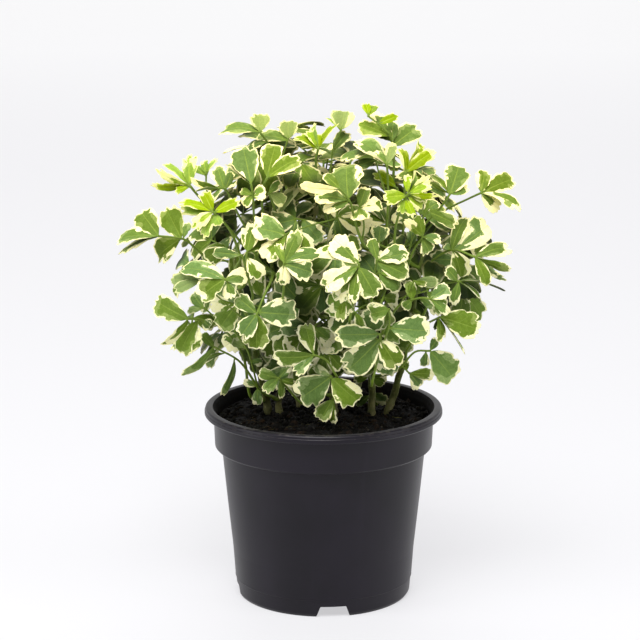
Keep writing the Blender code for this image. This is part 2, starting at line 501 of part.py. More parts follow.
def layout():
    """Stems, stalks and leaflets of the whole crown, in millimetres."""
    world = World()
    stems = stem_paths()
    for name, path, rad in stems:
        v, f = tube(path, rad, 8, 0.35)
        world.add(v, f, (name, "stem"))
    # rim and soil as things to keep off
    ring = []
    for k in range(33):
        w = 2 * math.pi * k / 32
        ring.append(np.array([48.8 * math.cos(w), 48.8 * math.sin(w), POT_HIGH - 2.0]))
    v, f = tube(ring, [3.4] * 33, 6)
    world.add(v, f, ("pot", "pot"))
    gx = np.array([[-50, -50, SOIL_TOP + 1.5], [50, -50, SOIL_TOP + 1.5], [50, 50, SOIL_TOP + 1.5], [-50, 50, SOIL_TOP + 1.5],
                   [-50, -50, SOIL_TOP - 4], [50, -50, SOIL_TOP - 4], [50, 50, SOIL_TOP - 4], [-50, 50, SOIL_TOP - 4]], float)
    world.add(gx, [(0, 1, 2, 3), (7, 6, 5, 4), (0, 4, 5, 1), (1, 5, 6, 2), (2, 6, 7, 3), (3, 7, 4, 0)], ("soil", "soil"))

    nodes, stats = [], dict(kept=0, shrunk=0, dropped=0, lost=[])
    cover = Cover()

    def stalk_to_stem(first, onward, name, weight=0.5):
        """A clear path from a stem up to the first point of the leaf's own stalk."""
        best = None
        go = unit(onward - first)
        cands = []
        for sname, path, rad in stems:
            for i in range(3, len(path) - 1):
                s = path[i]
                if s[2] < SOIL_TOP + 3:
                    continue
                gap = first - s
                dist = float(np.linalg.norm(gap))
                rise = float(gap[2])
                cost = abs(dist - 22.0) + (max(0.0, 6.0 - rise)) * 1.5 + 12.0 * (1 - float(unit(gap) @ go))
                cands.append((cost, sname, i))
        cands.sort(key=lambda c: c[0])
        for n, (cost, sname, i) in enumerate(cands[:26]):
            path, rad = next((p, r) for s, p, r in stems if s == sname)
            s, r = path[i], rad[i]
            tang = unit(path[min(i + 1, len(path) - 1)] - path[i - 1])
            out = first - s
            out = unit(out - tang * float(out @ tang))
            start = s + out * (r + 0.95)
            dist = float(np.linalg.norm(first - start))
            if dist < 3:
                continue
            for bend in (0.35, 0.15, 0.55):
                c1 = start + unit(out * 0.8 + tang * bend * 1.6) * dist * 0.33
                c2 = first - go * dist * 0.3
                pts = []
                for k in range(5):
                    t = k / 4
                    pts.append(start * (1 - t) ** 3 + c1 * 3 * t * (1 - t) ** 2 + c2 * 3 * t * t * (1 - t) + first * t ** 3)
                v, f = tube(pts, [0.62] * 5, 4, 0.45)
                h = world.hits(v, f)
                if h == 0:
                    return pts, sname, 0
                if best is None or h < best[2]:
                    best = (pts, sname, h)
        return best

    def fit(lf, owner, spread, siblings):
        """First clear variation of a leaflet, or None."""
        for f in (1.0, 0.86, 0.72):
            base = lf if f == 1.0 else shrink(lf, f)
            for c in vary(base, spread):
                if float(c["T"][2]) < SOIL_TOP + 2.5:
                    continue
                v, fc = blade_solid(c, 1.5, 0.35)
                if world.hits(v, fc):
                    continue
                v2, fc2 = blade_solid(c, 0.9, 0.0, 0.3)
                if any(me.overlap(o) for o in siblings for me in (BVHTree.FromPolygons([tuple(q) for q in v2], fc2),)):
                    continue
                return c, f
        return None

    def try_node(name, axes3, specs, spread):
        """Stalk and leaflets at this depth; returns what could be placed."""
        first, onward = axes3[0][0], axes3[0][1]
        got = stalk_to_stem(first, onward, name)
        if got is None:
            return None
        lead, sname, h = got
        main = lead[:-1] + axes3[0]
        bad = h * 4
        for ax in axes3:
            v, f = tube(ax, [0.55] * len(ax), 4, 0.4)
            bad += world.hits(v, f)
        placed, sibs, lost = [], [], []
        worth = 0.0
        for spec in specs:
            r = fit(spec, name, spread, sibs)
            if r is None:
                # allow it over a sibling of the same leaf
                r = fit(spec, name, spread[:2], [])
            if r is None:
                lost.append(spec)
                worth -= spec["W"]
                continue
            c, f = r
            v2, fc2 = blade_solid(c, 0.9, 0.0, 0.3)
            sibs.append(BVHTree.FromPolygons([tuple(q) for q in v2], fc2))
            placed.append((c, f))
            worth += c["W"] * f
        return dict(name=name, main=main, others=axes3[1:], stem=sname, placed=placed, lost=lost, worth=worth - bad * 45, bad=bad)

    def keep(node):
        n = node["name"]
        nodes.append(node)
        v, f = tube(node["main"], [0.6] * len(node["main"]), 4, 0.4)
        world.add(v, f, (n, "stalk"))
        for ax in node["others"]:
            v, f = tube(ax, [0.5] * len(ax), 4, 0.4)
            world.add(v, f, (n, "stalk"))
        for c, f in node["placed"]:
            v, fc = blade_solid(c, 0.9, 0.1)
            world.add(v, fc, (n, "leaflet"))
            cover.mark(c)
            stats["kept"] += 1
            stats["shrunk"] += f < 1
        stats["dropped"] += len(node["lost"])
        if node["lost"] or node["bad"]:
            stats["lost"].append((n, len(node["lost"]), node["bad"]))

    for name, reach, axes, specs in LEAVES:
        best = None
        for off in (0.0, -2.5, 2.5, -5.0, 5.0, -8.0, -11.0, 8.0):
            ju, jv = axes[0][-1]
            ahead = dome(ju, jv) * reach + off
            axes3 = []
            for ax in axes:
                line = []
                for i, (u, v) in enumerate(ax):
                    # stalks lie a little deeper toward the stem
                    back = sum(math.dist(ax[k], ax[k + 1]) for k in range(i, len(ax) - 1)) if ax is axes[0] else 0.0
                    line.append((u, v, back))
                axes3.append(line)
            main3 = [place(u, v, ahead - 0.22 * b) for u, v, b in axes3[0]]
            out3 = [main3]
            for ax in axes[1:]:
                i = axes[0].index(ax[0]) if ax[0] in axes[0] else 0
                root = main3[i]
                line = [root]
                for j, (u, v) in enumerate(ax[1:]):
                    line.append(place(u, v, -root[1] + 0.12 * math.dist(ax[0], (u, v)) + (dome(u, v) - dome(*ax[0])) * 0.4))
                out3.append(line)
            leaflets = []
            for k, spec in enumerate(specs):
                ai, si, t = nearest_on(axes, spec[0], spec[1])
                A = out3[ai][si] * (1 - t) + out3[ai][si + 1] * t
                seed = "%s:%d" % (name, k)
                rnd = random.Random(seed + "f")
                rad = unit((A - CROWN_MID) / CROWN_HALF)
                facing = unit(-FWD * 0.9 + UP * rnd.uniform(0.1, 0.5) + rad * 0.35 + RGT * rnd.uniform(-0.2, 0.2))
                lf = leaflet_from_view(A, spec, seed, rnd.uniform(0.05, 0.38), facing)
                lf["view"] = spec
                lf["A"] = A + unit(lf["T"] - A) * 0.25
                leaflets.append(lf)
            node = try_node(name, out3, leaflets, (0.16, 0.32, 0.5))
            if node is None:
                continue
            score = node["worth"] - abs(off) * 0.6
            if best is None or score > best[0]:
                best = (score, node)
            if not node["lost"] and not node["bad"]:
                break
        keep(best[1])

    for name, az, el, reach, n_leaf, n_let in SHOOTS:
        # the main stalk: a clear way from a stem out to the shoot's end
        best = None
        for tryno in range(40):
            rnd = random.Random("%s:%d" % (name, tryno))
            wide = (tryno > 0) * (1 + tryno / 12)
            a = math.radians(az + rnd.uniform(-12, 12) * wide)
            e = math.radians(el + rnd.uniform(-8, 8) * wide)
            dirn = np.array([math.sin(a) * math.cos(e), -math.cos(a) * math.cos(e), math.sin(e)])
            k = reach * rnd.uniform(0.92, 1.0)
            joint = CROWN_MID + dirn * CROWN_HALF * k
            fork = CROWN_MID + dirn * CROWN_HALF * k * 0.55 + UP * rnd.uniform(-7, -2)
            mid = (fork + joint) / 2 + UP * rnd.uniform(0.5, 3)
            got = stalk_to_stem(fork, mid, name)
            if got is None:
                continue
            lead, sname, h = got
            v, f = tube([fork, mid, joint], [0.55] * 3, 4, 0.4)
            h += world.hits(v, f)
            if best is None or h < best[0]:
                best = (h, lead[:-1] + [fork, mid, joint], sname, dirn)
            if h == 0:
                break
        bad, main, sname, dirn = best
        rad = unit(dirn / CROWN_HALF)
        side = unit(np.cross(UP, rad))
        over = np.cross(rad, side)
        own = []
        v, f = tube(main, [0.6] * len(main), 4, 0.4)
        own.append(BVHTree.FromPolygons([tuple(q) for q in v], f))
        others, placed = [], []
        length = arc_length(main[4:])

        def head(j, t, rnd):
            # one compound leaf: (branch stalk or None, its leaflets)
            if j == 0:
                J, go, line = main[-1], unit(main[-1] - main[-2]), None
            else:
                root = point_along(main[4:], length * min(0.93, 0.16 + 0.8 * (j - 0.5) / n_leaf))
                spin = 2.4 * j + rnd.uniform(-0.9, 0.9)
                reach_out = rnd.uniform(15, 27)
                J = root + (side * math.cos(spin) + over * math.sin(spin)) * reach_out + rad * rnd.uniform(0, 12)
                if J[2] < SOIL_TOP + 9:
                    J = J + UP * (SOIL_TOP + 9 - J[2])
                q = (J - CROWN_MID) / CROWN_HALF
                far = float(np.linalg.norm(q))
                if far > 1.0:
                    J = CROWN_MID + (J - CROWN_MID) / far
                m = (root + J) / 2 + UP * rnd.uniform(0.5, 2.5)
                line = [root, m, J]
                go = unit(J - m)
            out_here = unit((J - CROWN_MID) / CROWN_HALF ** 2)
            near = float(np.clip((34.0 - J[1]) / 60.0, 0.0, 1.0))
            N0 = unit(out_here * rnd.uniform(0.5, 0.9) + UP * rnd.uniform(0.45, 0.8) + side * rnd.uniform(-0.3, 0.3)
                      - FWD * rnd.uniform(0.6, 1.3) * near)
            fwd = unit(go - N0 * float(go @ N0))
            sid = np.cross(N0, fwd)
            ax = line or main[-3:]
            out = []
            for q in range(n_let):
                spin = (0.0, 0.95, -0.95, 1.9, -1.9)[q % 5] + rnd.uniform(-0.18, 0.18)
                back = (0.0, 0.0, 0.0, 3.2, 3.2)[q % 5]
                L = rnd.uniform(12.0, 16.5) * (1.0, 0.95, 0.95, 0.8, 0.8)[q % 5]
                A = J - unit(ax[-1] - ax[-2]) * back
                d = fwd * math.cos(spin) + sid * math.sin(spin)
                d = unit(d - N0 * rnd.uniform(0.0, 0.45))
                N = unit(N0 + d * rnd.uniform(0.1, 0.3))
                N = unit(N - d * float(N @ d))
                seed = "%s:%d:%d" % (name, j, q)
                kr = random.Random(seed).random()
                kind = "g" if kr < 0.6 else "d" if kr < 0.72 else "c" if kr < 0.9 else "y"
                out.append(dict(A=A + d * 0.25, B=A, T=A + d * L, N=N, W=L * rnd.uniform(0.62, 0.82),
                                arch=rnd.uniform(0.03, 0.09), fold=rnd.uniform(0.1, 0.3), kind=kind, seed=seed, plain=True))
            return line, out

        for j in range(n_leaf):
            tries = []
            for t in range(1 if j == 0 else 16):
                rnd = random.Random("%s/%d/%d" % (name, j, t))
                line, leaflets = head(j, t, rnd)
                mid_head = sum(lf["A"] * 0.4 + lf["T"] * 0.6 for lf in leaflets) / len(leaflets)
                tries.append((cover.gain(mid_head, 12.0) + 0.01 * t, t, line, leaflets))
            tries.sort(key=lambda x: -x[0])
            pick = None
            for gain, t, line, leaflets in tries[:9]:
                if line is not None:
                    v, f = tube(line, [0.5] * 3, 4, 0.4)
                    v2, f2 = tube([line[0] + (line[1] - line[0]) * 0.25] + line[1:], [0.5] * 3, 4, 0.2)
                    me = BVHTree.FromPolygons([tuple(q) for q in v2], f2)
                    if world.hits(v, f) or any(me.overlap(o) for o in own[1:]):
                        continue
                sibs, got = list(own[1:]), []
                for lf in leaflets:
                    r = fit(lf, name, (0.22, 0.45), sibs)
                    if r is None:
                        continue
                    c, f = r
                    v2, fc2 = blade_solid(c, 0.9, 0.0, 0.3)
                    sibs.append(BVHTree.FromPolygons([tuple(q) for q in v2], fc2))
                    got.append((c, f))
                if len(got) >= 2 and (pick is None or len(got) * (4 + gain) > pick[0]):
                    pick = (len(got) * (4 + gain), line, got)
                if pick is not None and len(got) >= n_let - 1:
                    break
            if pick is None:
                continue
            _, line, got = pick
            if line is not None:
                others.append(line)
                v, f = tube([line[0] + (line[1] - line[0]) * 0.25] + line[1:], [0.5] * 3, 4, 0.2)
                own.append(BVHTree.FromPolygons([tuple(q) for q in v], f))
            for c, f in got:
                v2, fc2 = blade_solid(c, 0.9, 0.0, 0.3)
                own.append(BVHTree.FromPolygons([tuple(q) for q in v2], fc2))
                placed.append((c, f))
                cover.mark(c)
        keep(dict(name=name, main=main, others=others, stem=sname, placed=placed, lost=[], worth=0, bad=bad))
    return stems, nodes, stats


# ---------------------------------------------------------------- leaf solids
# A compound leaf is one thin sheet: its stalk is a narrow ribbon, and each
# leaflet grows from a short edge of that ribbon. Solidify gives it thickness.
RIBBON = 0.55              # half the ribbon's width
SLOT = 1.0                 # length of the ribbon's edge that a leaflet takes


def arc(path):
    s = [0.0]
    for a, b in zip(path, path[1:]):
        s.append(s[-1] + float(np.linalg.norm(np.asarray(b) - np.asarray(a))))
    return s


def along(path, s, x):
    x = min(max(x, 0.0), s[-1])
    i = min(max(int(np.searchsorted(s, x)) - 1, 0), len(path) - 2)
    t = (x - s[i]) / max(s[i + 1] - s[i], 1e-9)
    return np.asarray(path[i]) * (1 - t) + np.asarray(path[i + 1]) * t, unit(np.asarray(path[i + 1]) - np.asarray(path[i]))


def closest(path, s, p):
    best = None
    for i in range(len(path) - 1):
        a, b = np.asarray(path[i]), np.asarray(path[i + 1])
        t = float(np.clip((p - a) @ (b - a) / max(float((b - a) @ (b - a)), 1e-9), 0, 1))
        d = float(np.linalg.norm(a + (b - a) * t - p))
        if best is None or d < best[0] - 1e-9:
            best = (d, s[i] + t * (s[i + 1] - s[i]))
    return best


def sheet(node):
    verts, faces = [], []

    def add(p):
        verts.append(np.asarray(p, float))
        return len(verts) - 1

    stalks = [node["main"]] + node["others"]
    arcs = [arc(p) for p in stalks]
    kids = [[] for _ in stalks]
    for lf, f in node["placed"]:
        near = [closest(p, s, lf["A"]) for p, s in zip(stalks, arcs)]
        k = min(range(len(stalks)), key=lambda i: near[i][0])
        kids[k].append((near[k][1], "leaflet", lf, unit(lf["T"] - lf["A"])))
    for j in range(1, len(stalks)):
        at = closest(stalks[0], arcs[0], np.asarray(stalks[j][0]))[1]
        kids[0].append((at, "stalk", j, unit(np.asarray(stalks[j][-1]) - np.asarray(stalks[j][0]))))

    def leaflet(lf, a, b):
        pts, tri, n = blade_points(lf)
        w = pts[1] - pts[-2 if len(tri) == 6 else -1]
        if float((verts[b] - verts[a]) @ w) < 0:
            a, b = b, a
        if len(tri) == 6:
            p1, p2, p3, p4, p5, c = (add(p) for p in pts[1:])
            faces.extend([(a, b, c), (b, p1, c), (p1, p2, c), (p2, p3, c), (p3, p4, c), (p4, p5, c), (p5, a, c)])
        elif len(tri) == 2:
            p1, p2, p3 = (add(p) for p in pts[1:])
            faces.extend([(a, b, p1), (a, p1, p3), (p1, p2, p3)])
        else:
            p1, p2, p3, p4 = (add(p) for p in pts[1:])
            faces.extend([(a, b, p1), (a, p1, p4), (p4, p1, p3), (p1, p2, p3)])

    def ribbon(k, start):
        path, s = stalks[k], arcs[k]
        total = s[-1]
        end, t_end = along(path, s, total)
        nh = sum((c[2]["N"] for c in kids[k] if c[1] == "leaflet"), np.zeros(3)) + UP * 0.01
        nh = unit(nh - t_end * float(nh @ t_end))
        side_end = np.cross(nh, t_end)

        def side_at(x):
            v = side_end
            for q in np.linspace(total, x, 5):
                t = along(path, s, q)[1]
                v = unit(v - t * float(v @ t))
            return v

        tail = [c for c in kids[k] if c[0] > total - 1.5 and float(c[3] @ t_end) > -0.2 and c[1] == "leaflet"]
        last = max(tail, key=lambda c: float(c[3] @ t_end)) if tail else None
        slots = []
        low = 1.4 if start else 0.4
        for c in sorted((c for c in kids[k] if c is not last), key=lambda c: -c[0]):
            sgn = 1 if float(c[3] @ side_at(c[0])) > 0 else -1
            near = [q for q in slots if q[2 if sgn > 0 else 3] is None and abs((q[0] + q[1]) / 2 - min(c[0], total - SLOT / 2)) < 1.3]
            if near:
                near[0][2 if sgn > 0 else 3] = c
                continue
            hi = min(c[0] + SLOT / 2, total)
            for q in sorted(slots, key=lambda q: -q[0]):
                if hi > q[0] and hi - SLOT < q[1]:
                    hi = q[0]
            if hi - SLOT < low:
                hi = max([q[1] for q in slots] + [low]) + SLOT
            slots.append([hi - SLOT, hi, c if sgn > 0 else None, None if sgn > 0 else c])
        stations = sorted({round(q[0], 6) for q in slots} | {round(q[1], 6) for q in slots})
        for x in s[1:-1] + [0.0, total]:
            if all(abs(x - y) > (0.5 if x in (0.0, total) else 0.9) for y in stations) and not any(q[0] < x < q[1] for q in slots):
                stations.append(x)
        stations = sorted(stations)
        if start:
            stations = [x for x in stations if x > 1.0]
        elif stations[0] > 0.01:
            stations = [0.0] + stations
        pairs = []
        for x in stations:
            extra = max(0.0, x - total)
            p, t = along(path, s, x)
            p = p + t * extra
            v = side_at(x)
            pairs.append((add(p - v * RIBBON), add(p + v * RIBBON)))
        if start:
            a, b = start
            l, r = pairs[0]
            if float((verts[b] - verts[a]) @ (verts[r] - verts[l])) < 0:
                a, b = b, a
            faces.append((a, b, r, l))
        for (l0, r0), (l1, r1) in zip(pairs, pairs[1:]):
            faces.append((l0, r0, r1, l1))
        for q in slots:
            i = next(n for n, x in enumerate(stations) if abs(x - q[0]) < 1e-5)
            for col, c in ((1, q[2]), (0, q[3])):
                if c is None:
                    continue
                a, b = pairs[i][col], pairs[i + 1][col]
                if c[1] == "leaflet":
                    leaflet(c[2], a, b)
                else:
                    ribbon(c[2], (a, b))
        if last is not None:
            leaflet(last[2], pairs[-1][0], pairs[-1][1])

    ribbon(0, None)
    return verts, faces


# ---------------------------------------------------------------- making
for ob in list(bpy.data.objects):
    bpy.data.objects.remove(ob, do_unlink=True)

plant = bpy.data.collections.new("potted_aralia")
cutters = bpy.data.collections.new("cutters")
bpy.context.scene.collection.children.link(plant)
bpy.context.scene.collection.children.link(cutters)


def material(name, rgb, rough):
    m = bpy.data.materials.new(name)
    m.use_nodes = True
    b = m.node_tree.nodes["Principled BSDF"]
    b.inputs["Base Color"].default_value = (*rgb, 1.0)
    b.inputs["Roughness"].default_value = rough
    b.inputs["Metallic"].default_value = 0.0
    m.diffuse_color = (*rgb, 1.0)
    return m


def obj_from(name, verts, faces, coll=plant, edges=()):
    me = bpy.data.meshes.new(name)
    me.from_pydata([tuple(float(c) * MM for c in v) for v in verts], list(edges), faces)
    me.update()
    ob = bpy.data.objects.new(name, me)
    coll.objects.link(ob)
    return ob


def as_mesh(ob, name=None):
    # the evaluated object as a plain mesh object in the same place
    bpy.context.view_layer.update()
    ev = ob.evaluated_get(bpy.context.evaluated_depsgraph_get())
    me = bpy.data.meshes.new_from_object(ev)
    new = bpy.data.objects.new(name or ob.name, me)
    new.matrix_world = ob.matrix_world.copy()
    for c in ob.users_collection:
        c.objects.link(new)
    old = ob.name
    bpy.data.objects.remove(ob, do_unlink=True)
    new.name = name or old
    return new


def weld(ob, dist=0.000002):
    bm = bmesh.new()
    bm.from_mesh(ob.data)
    bmesh.ops.remove_doubles(bm, verts=bm.verts, dist=dist)
    bm.to_mesh(ob.data)
    bm.free()


def screw(name, profile, steps):
    # a turned shape: the profile runs along the inside, over the rim and down
    # the outer side
    ob = obj_from(name, [(r, 0.0, z) for r, z in profile], [], edges=[(i, i + 1) for i in range(len(profile) - 1)])
    m = ob.modifiers.new("turn", "SCREW")
    m.axis = "Z"
    m.angle = 2 * math.pi
    m.steps = m.render_steps = steps
    m.use_merge_vertices = True
    m.merge_threshold = 0.00001
    m.use_normal_calculate = False
    return ob


def cutter(ob):
    ob.hide_render = True
    ob.display_type = "WIRE"
    return ob


def cut(ob, tool):
    m = ob.modifiers.new("cut_" + tool.name, "BOOLEAN")
    m.operation = "DIFFERENCE"
    m.solver = "EXACT"
    m.object = tool


def tube_object(name, path, radii, sides_level, coll=plant):
    cu = bpy.data.curves.new(name, "CURVE")
    cu.dimensions = "3D"
    cu.bevel_depth = MM
    cu.bevel_resolution = sides_level
    cu.use_fill_caps = True
    cu.resolution_u = cu.render_resolution_u = 1
    sp = cu.splines.new("POLY")
    sp.points.add(len(path) - 1)
    for q, p, r in zip(sp.points, path, radii):
        q.co = (*(float(c) * MM for c in p), 1.0)
        q.radius = float(r)
    ob = bpy.data.objects.new(name, cu)
    coll.objects.link(ob)
    ob = as_mesh(ob, name)
    weld(ob)
    return ob


# pot: floor, inner wall, rolled rim, collar, body, seam and foot
pot_profile = [
    (0.0, FLOOR_TOP), (36.3, FLOOR_TOP),
    (BODY_TOP_R - WALL, COLLAR_LOW + 0.4), (COLLAR_R - WALL - 0.35, COLLAR_LOW + 2.2), (COLLAR_R - WALL, 79.2),
    (46.5, 81.3), (47.3, 82.25), (48.2, POT_HIGH), (49.8, POT_HIGH - 0.1), (50.4, 81.9), (50.45, 81.2),
    (RIM_R, 80.9), (RIM_R, 79.6), (50.2, 79.0), (COLLAR_R + 0.1, 78.8),
    (COLLAR_R - 0.45, COLLAR_LOW + 0.8), (COLLAR_R - 1.2, COLLAR_LOW), (BODY_TOP_R + 0.1, COLLAR_LOW - 0.3),
    (41.2, 41.0), (38.95, 20.0), (FOOT_R, SEAM_HIGH), (FOOT_R - 0.25, SEAM_HIGH - 0.3), (37.2, 0.9), (BASE_R, 0.0),
    (BASE_R - 1.3, 0.0), (BASE_R - 1.0, FLOOR_LOW), (0.0, FLOOR_LOW),
]
pot = screw("pot", pot_profile, POT_SIDES)
for k in range(SLOT_COUNT):
    a = math.radians(SLOT_FIRST + 360.0 * k / SLOT_COUNT)
    out, side = np.array([math.sin(a), -math.cos(a), 0]), np.array([math.cos(a), math.sin(a), 0])
    w0 = SLOT_LOW_W / 2 + 0.5
    w1 = SLOT_TOP_W / 2
    bm = bmesh.new()
    bmesh.ops.create_cube(bm, size=2.0)
    for v in bm.verts:
        w = w1 if v.co.z > 0 else w0
        p = out * (35.0 + 6.0 * v.co.y) - side * w * v.co.x
        z = SLOT_HIGH if v.co.z > 0 else -1.0
        v.co = Vector((p[0] * MM, p[1] * MM, z * MM))
    me = bpy.data.meshes.new("slot_%d" % (k + 1))
    bm.to_mesh(me)
    bm.free()
    ob = bpy.data.objects.new(me.name, me)
    cutters.objects.link(ob)
    cut(pot, cutter(ob))
for k in range(5):
    a = math.radians(45 + 90 * k)
    r = 0.0 if k == 4 else 19.0
    bm = bmesh.new()
    bmesh.ops.create_cone(bm, cap_ends=True, segments=10, radius1=HOLE_R * MM, radius2=HOLE_R * MM, depth=4 * MM)
    me = bpy.data.meshes.new("drain_%d" % (k + 1))
    bm.to_mesh(me)
    bm.free()
    ob = bpy.data.objects.new(me.name, me)
    ob.location = (r * math.cos(a) * MM, r * math.sin(a) * MM, 3.0 * MM)
    cutters.objects.link(ob)
    cut(pot, cutter(ob))
pot.data.materials.append(material("black_plastic", (0.028, 0.026, 0.030), 0.42))

stems, nodes, stats = layout()

# soil: fills the pot to a little under the rim, with a lumpy top
soil_profile = [
    (0.0, SOIL_TOP), (15.0, SOIL_TOP), (29.0, SOIL_TOP), (40.0, SOIL_TOP - 0.1), (COLLAR_R - WALL - GAP - 0.1, SOIL_TOP - 0.9),
    (COLLAR_R - WALL - GAP - 0.5, COLLAR_LOW + 2.6), (BODY_TOP_R - WALL - GAP - 0.15, COLLAR_LOW + 0.65),
    (35.8 - GAP, FLOOR_TOP + GAP), (0.0, FLOOR_TOP + GAP),
]
soil = as_mesh(screw("soil", soil_profile, SOIL_SIDES))
for v in soil.data.vertices:
    r = math.hypot(v.co.x, v.co.y) / MM
    if v.co.z / MM > SOIL_TOP - 1.5 and r < 43.8:
        q = Vector((v.co.x, v.co.y, 0.0)) / MM
        lift = 0.5 * noise.noise(q * 0.11) + 0.3 * noise.noise(q * 0.31 + Vector((7, 3, 1)))
        v.co.z += lift * MM * min(1.0, (45.0 - r) / 8.0)
for name, path, rad in stems:
    tool = tube_object("socket_" + name, [path[0] + unit(path[0] - path[1]) * 0.4] + path[1:5], [rad[0] + 0.7] * 5, 1, cutters)
    cut(soil, cutter(tool))
soil.data.materials.append(material("potting_soil", (0.012, 0.009, 0.006), 0.95))

bark = material("stem_bark", (0.145, 0.125, 0.045), 0.7)
for name, path, rad in stems:
    ob = tube_object(name, path, rad, 1)
    ob.data.materials.append(bark)

tints = {
    "g": ((0.16, 0.30, 0.08), 0.45), "d": ((0.06, 0.13, 0.03), 0.42), "y": ((0.20, 0.31, 0.13), 0.5),
    "c": ((0.75, 0.72, 0.42), 0.5), "l": ((0.38, 0.55, 0.08), 0.42), "p": ((0.50, 0.56, 0.25), 0.5),
}


for node in nodes:
    name = node["name"]
    verts, faces = sheet(node)
    ob = obj_from(name, verts, faces)
    bm = bmesh.new()
    bm.from_mesh(ob.data)
    bmesh.ops.recalc_face_normals(bm, faces=bm.faces)
    bm.to_mesh(ob.data)
    bm.free()
    m = ob.modifiers.new("thickness", "SOLIDIFY")
    m.thickness = LEAF_THICK * MM
    m.offset = 0.0
    m.use_even_offset = False
    kinds = [lf["kind"] for lf, f in node["placed"]]
    kind = max(sorted(set(kinds)), key=kinds.count) if kinds else "g"
    ob.data.materials.append(material(name + "_leaf", *tints[kind]))

for ob in plant.objects:
    ob.data.shade_smooth()
    ob.data.set_sharp_from_angle(angle=math.radians(35))
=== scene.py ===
"""Looks of the potted aralia: detailed leaves, stems, soil and pot around the fixed frame.

The crown is laid out here by the same rules as the solids, in millimetres, so
each visible leaflet lies where its solid lies.
"""
import math
import random

import bmesh
import bpy
import numpy as np
from mathutils import Matrix, Vector, noise
from mathutils.bvhtree import BVHTree


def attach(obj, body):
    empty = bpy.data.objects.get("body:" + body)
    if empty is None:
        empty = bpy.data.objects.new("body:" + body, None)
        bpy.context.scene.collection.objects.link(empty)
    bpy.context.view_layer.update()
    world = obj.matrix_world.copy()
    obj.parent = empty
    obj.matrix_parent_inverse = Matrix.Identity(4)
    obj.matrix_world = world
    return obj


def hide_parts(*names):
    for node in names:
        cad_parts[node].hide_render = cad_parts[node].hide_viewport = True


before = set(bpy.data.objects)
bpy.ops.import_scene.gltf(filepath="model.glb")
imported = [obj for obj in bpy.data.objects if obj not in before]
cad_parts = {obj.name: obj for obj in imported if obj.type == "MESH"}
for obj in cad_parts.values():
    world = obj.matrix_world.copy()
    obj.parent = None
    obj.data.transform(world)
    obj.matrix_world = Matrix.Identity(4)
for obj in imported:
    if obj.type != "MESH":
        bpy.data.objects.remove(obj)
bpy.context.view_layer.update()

MM = 0.001

# ---------------------------------------------------------------- front view
# The crown is laid out in a front view: u runs right and v down, both from 0 to
# 640, seen from one metre in front and a little above. place() turns a point of
# that view, at a given distance in front of the pot's axis, into millimetres.
VIEW_X, VIEW_DIST, VIEW_HIGH = -1.5, 1000.0, 351.0
VIEW_PITCH = math.radians(13.03)
VIEW_FOCAL = 2422.0
VIEW_MID = 320.0
EYE = np.array([VIEW_X, -VIEW_DIST, VIEW_HIGH])
FWD = np.array([0.0, math.cos(VIEW_PITCH), -math.sin(VIEW_PITCH)])
UPV = np.array([0.0, math.sin(VIEW_PITCH), math.cos(VIEW_PITCH)])
RGT = np.array([1.0, 0.0, 0.0])
UP = np.array([0.0, 0.0, 1.0])

SOIL_TOP = 77.1            # mean height of the soil surface
POT_HIGH = 82.5            # height of the rim


def unit(a):
    a = np.asarray(a, float)
    return a / max(float(np.linalg.norm(a)), 1e-9)


def sight(u, v):
    return FWD + RGT * (u - VIEW_MID) / VIEW_FOCAL - UPV * (v - VIEW_MID) / VIEW_FOCAL


def place(u, v, ahead):
    d = sight(u, v)
    return EYE + d * ((VIEW_DIST - ahead) / d[1])


def dome(u, v):
    # how far the leaf canopy reaches in front of the axis at this point
    r2 = ((u - 322.0) / 205.0) ** 2 + ((v - 256.0) / 168.0) ** 2
    return 60.0 * max(1.0 - r2, 0.03) ** 0.75


def turn(a, axis, ang):
    axis = unit(axis)
    c, s = math.cos(ang), math.sin(ang)
    return a * c + np.cross(axis, a) * s + axis * float(axis @ a) * (1 - c)


def spline(pts, radii, per):
    # Catmull-Rom through the points, per steps for each span
    p = [np.asarray(q, float) for q in pts]
    q = [2 * p[0] - p[1]] + p + [2 * p[-1] - p[-2]]
    out, rad = [], []
    for i in range(len(p) - 1):
        a, b, c, d = q[i:i + 4]
        for k in range(per):
            t = k / per
            out.append(0.5 * (2 * b + (c - a) * t + (2 * a - 5 * b + 4 * c - d) * t * t + (3 * b - a - 3 * c + d) * t ** 3))
            rad.append(radii[i] * (1 - t) + radii[i + 1] * t)
    out.append(p[-1])
    rad.append(radii[-1])
    return out, rad


# ---------------------------------------------------------------- stems
# Each stem: name, then (u, v, ahead) points from the soil upward, then the
# radius at the soil and at the top.
STEMS = [
    ("stem_left_front", [(268, 415, None), (266, 398, -3), (258, 365, 8), (248, 325, 18), (239, 287, 21), (233, 250, 18)], 1.9, 0.8),
    ("stem_left_inner", [(280, 417, None), (279, 398, -5), (287, 357, 3), (291, 305, 9), (285, 255, 11), (282, 215, 8), (281, 185, 4)], 1.7, 0.7),
    ("stem_centre", [(333, 419, None), (333, 394, -3), (336, 352, 4), (338, 300, 8), (334, 250, 8), (332, 205, 3), (331, 172, 0)], 2.2, 0.8),
    ("stem_right_inner", [(371, 416, None), (372, 396, -6), (371, 347, 5), (374, 300, 14), (383, 250, 17), (389, 208, 12), (391, 182, 8)], 1.8, 0.8),
    ("stem_right_front", [(387, 414, None), (394, 394, -8), (405, 354, 2), (413, 310, 12), (420, 268, 15), (427, 236, 10)], 1.9, 0.8),
    ("stem_back_left", [(300, 408, None), (296, 385, -20), (284, 335, -30), (274, 285, -36), (270, 235, -33), (272, 195, -28)], 1.8, 0.8),
    ("stem_back_right", [(352, 408, None), (358, 385, -20), (372, 335, -30), (384, 285, -36), (388, 235, -34), (384, 195, -29)], 1.8, 0.8),
]
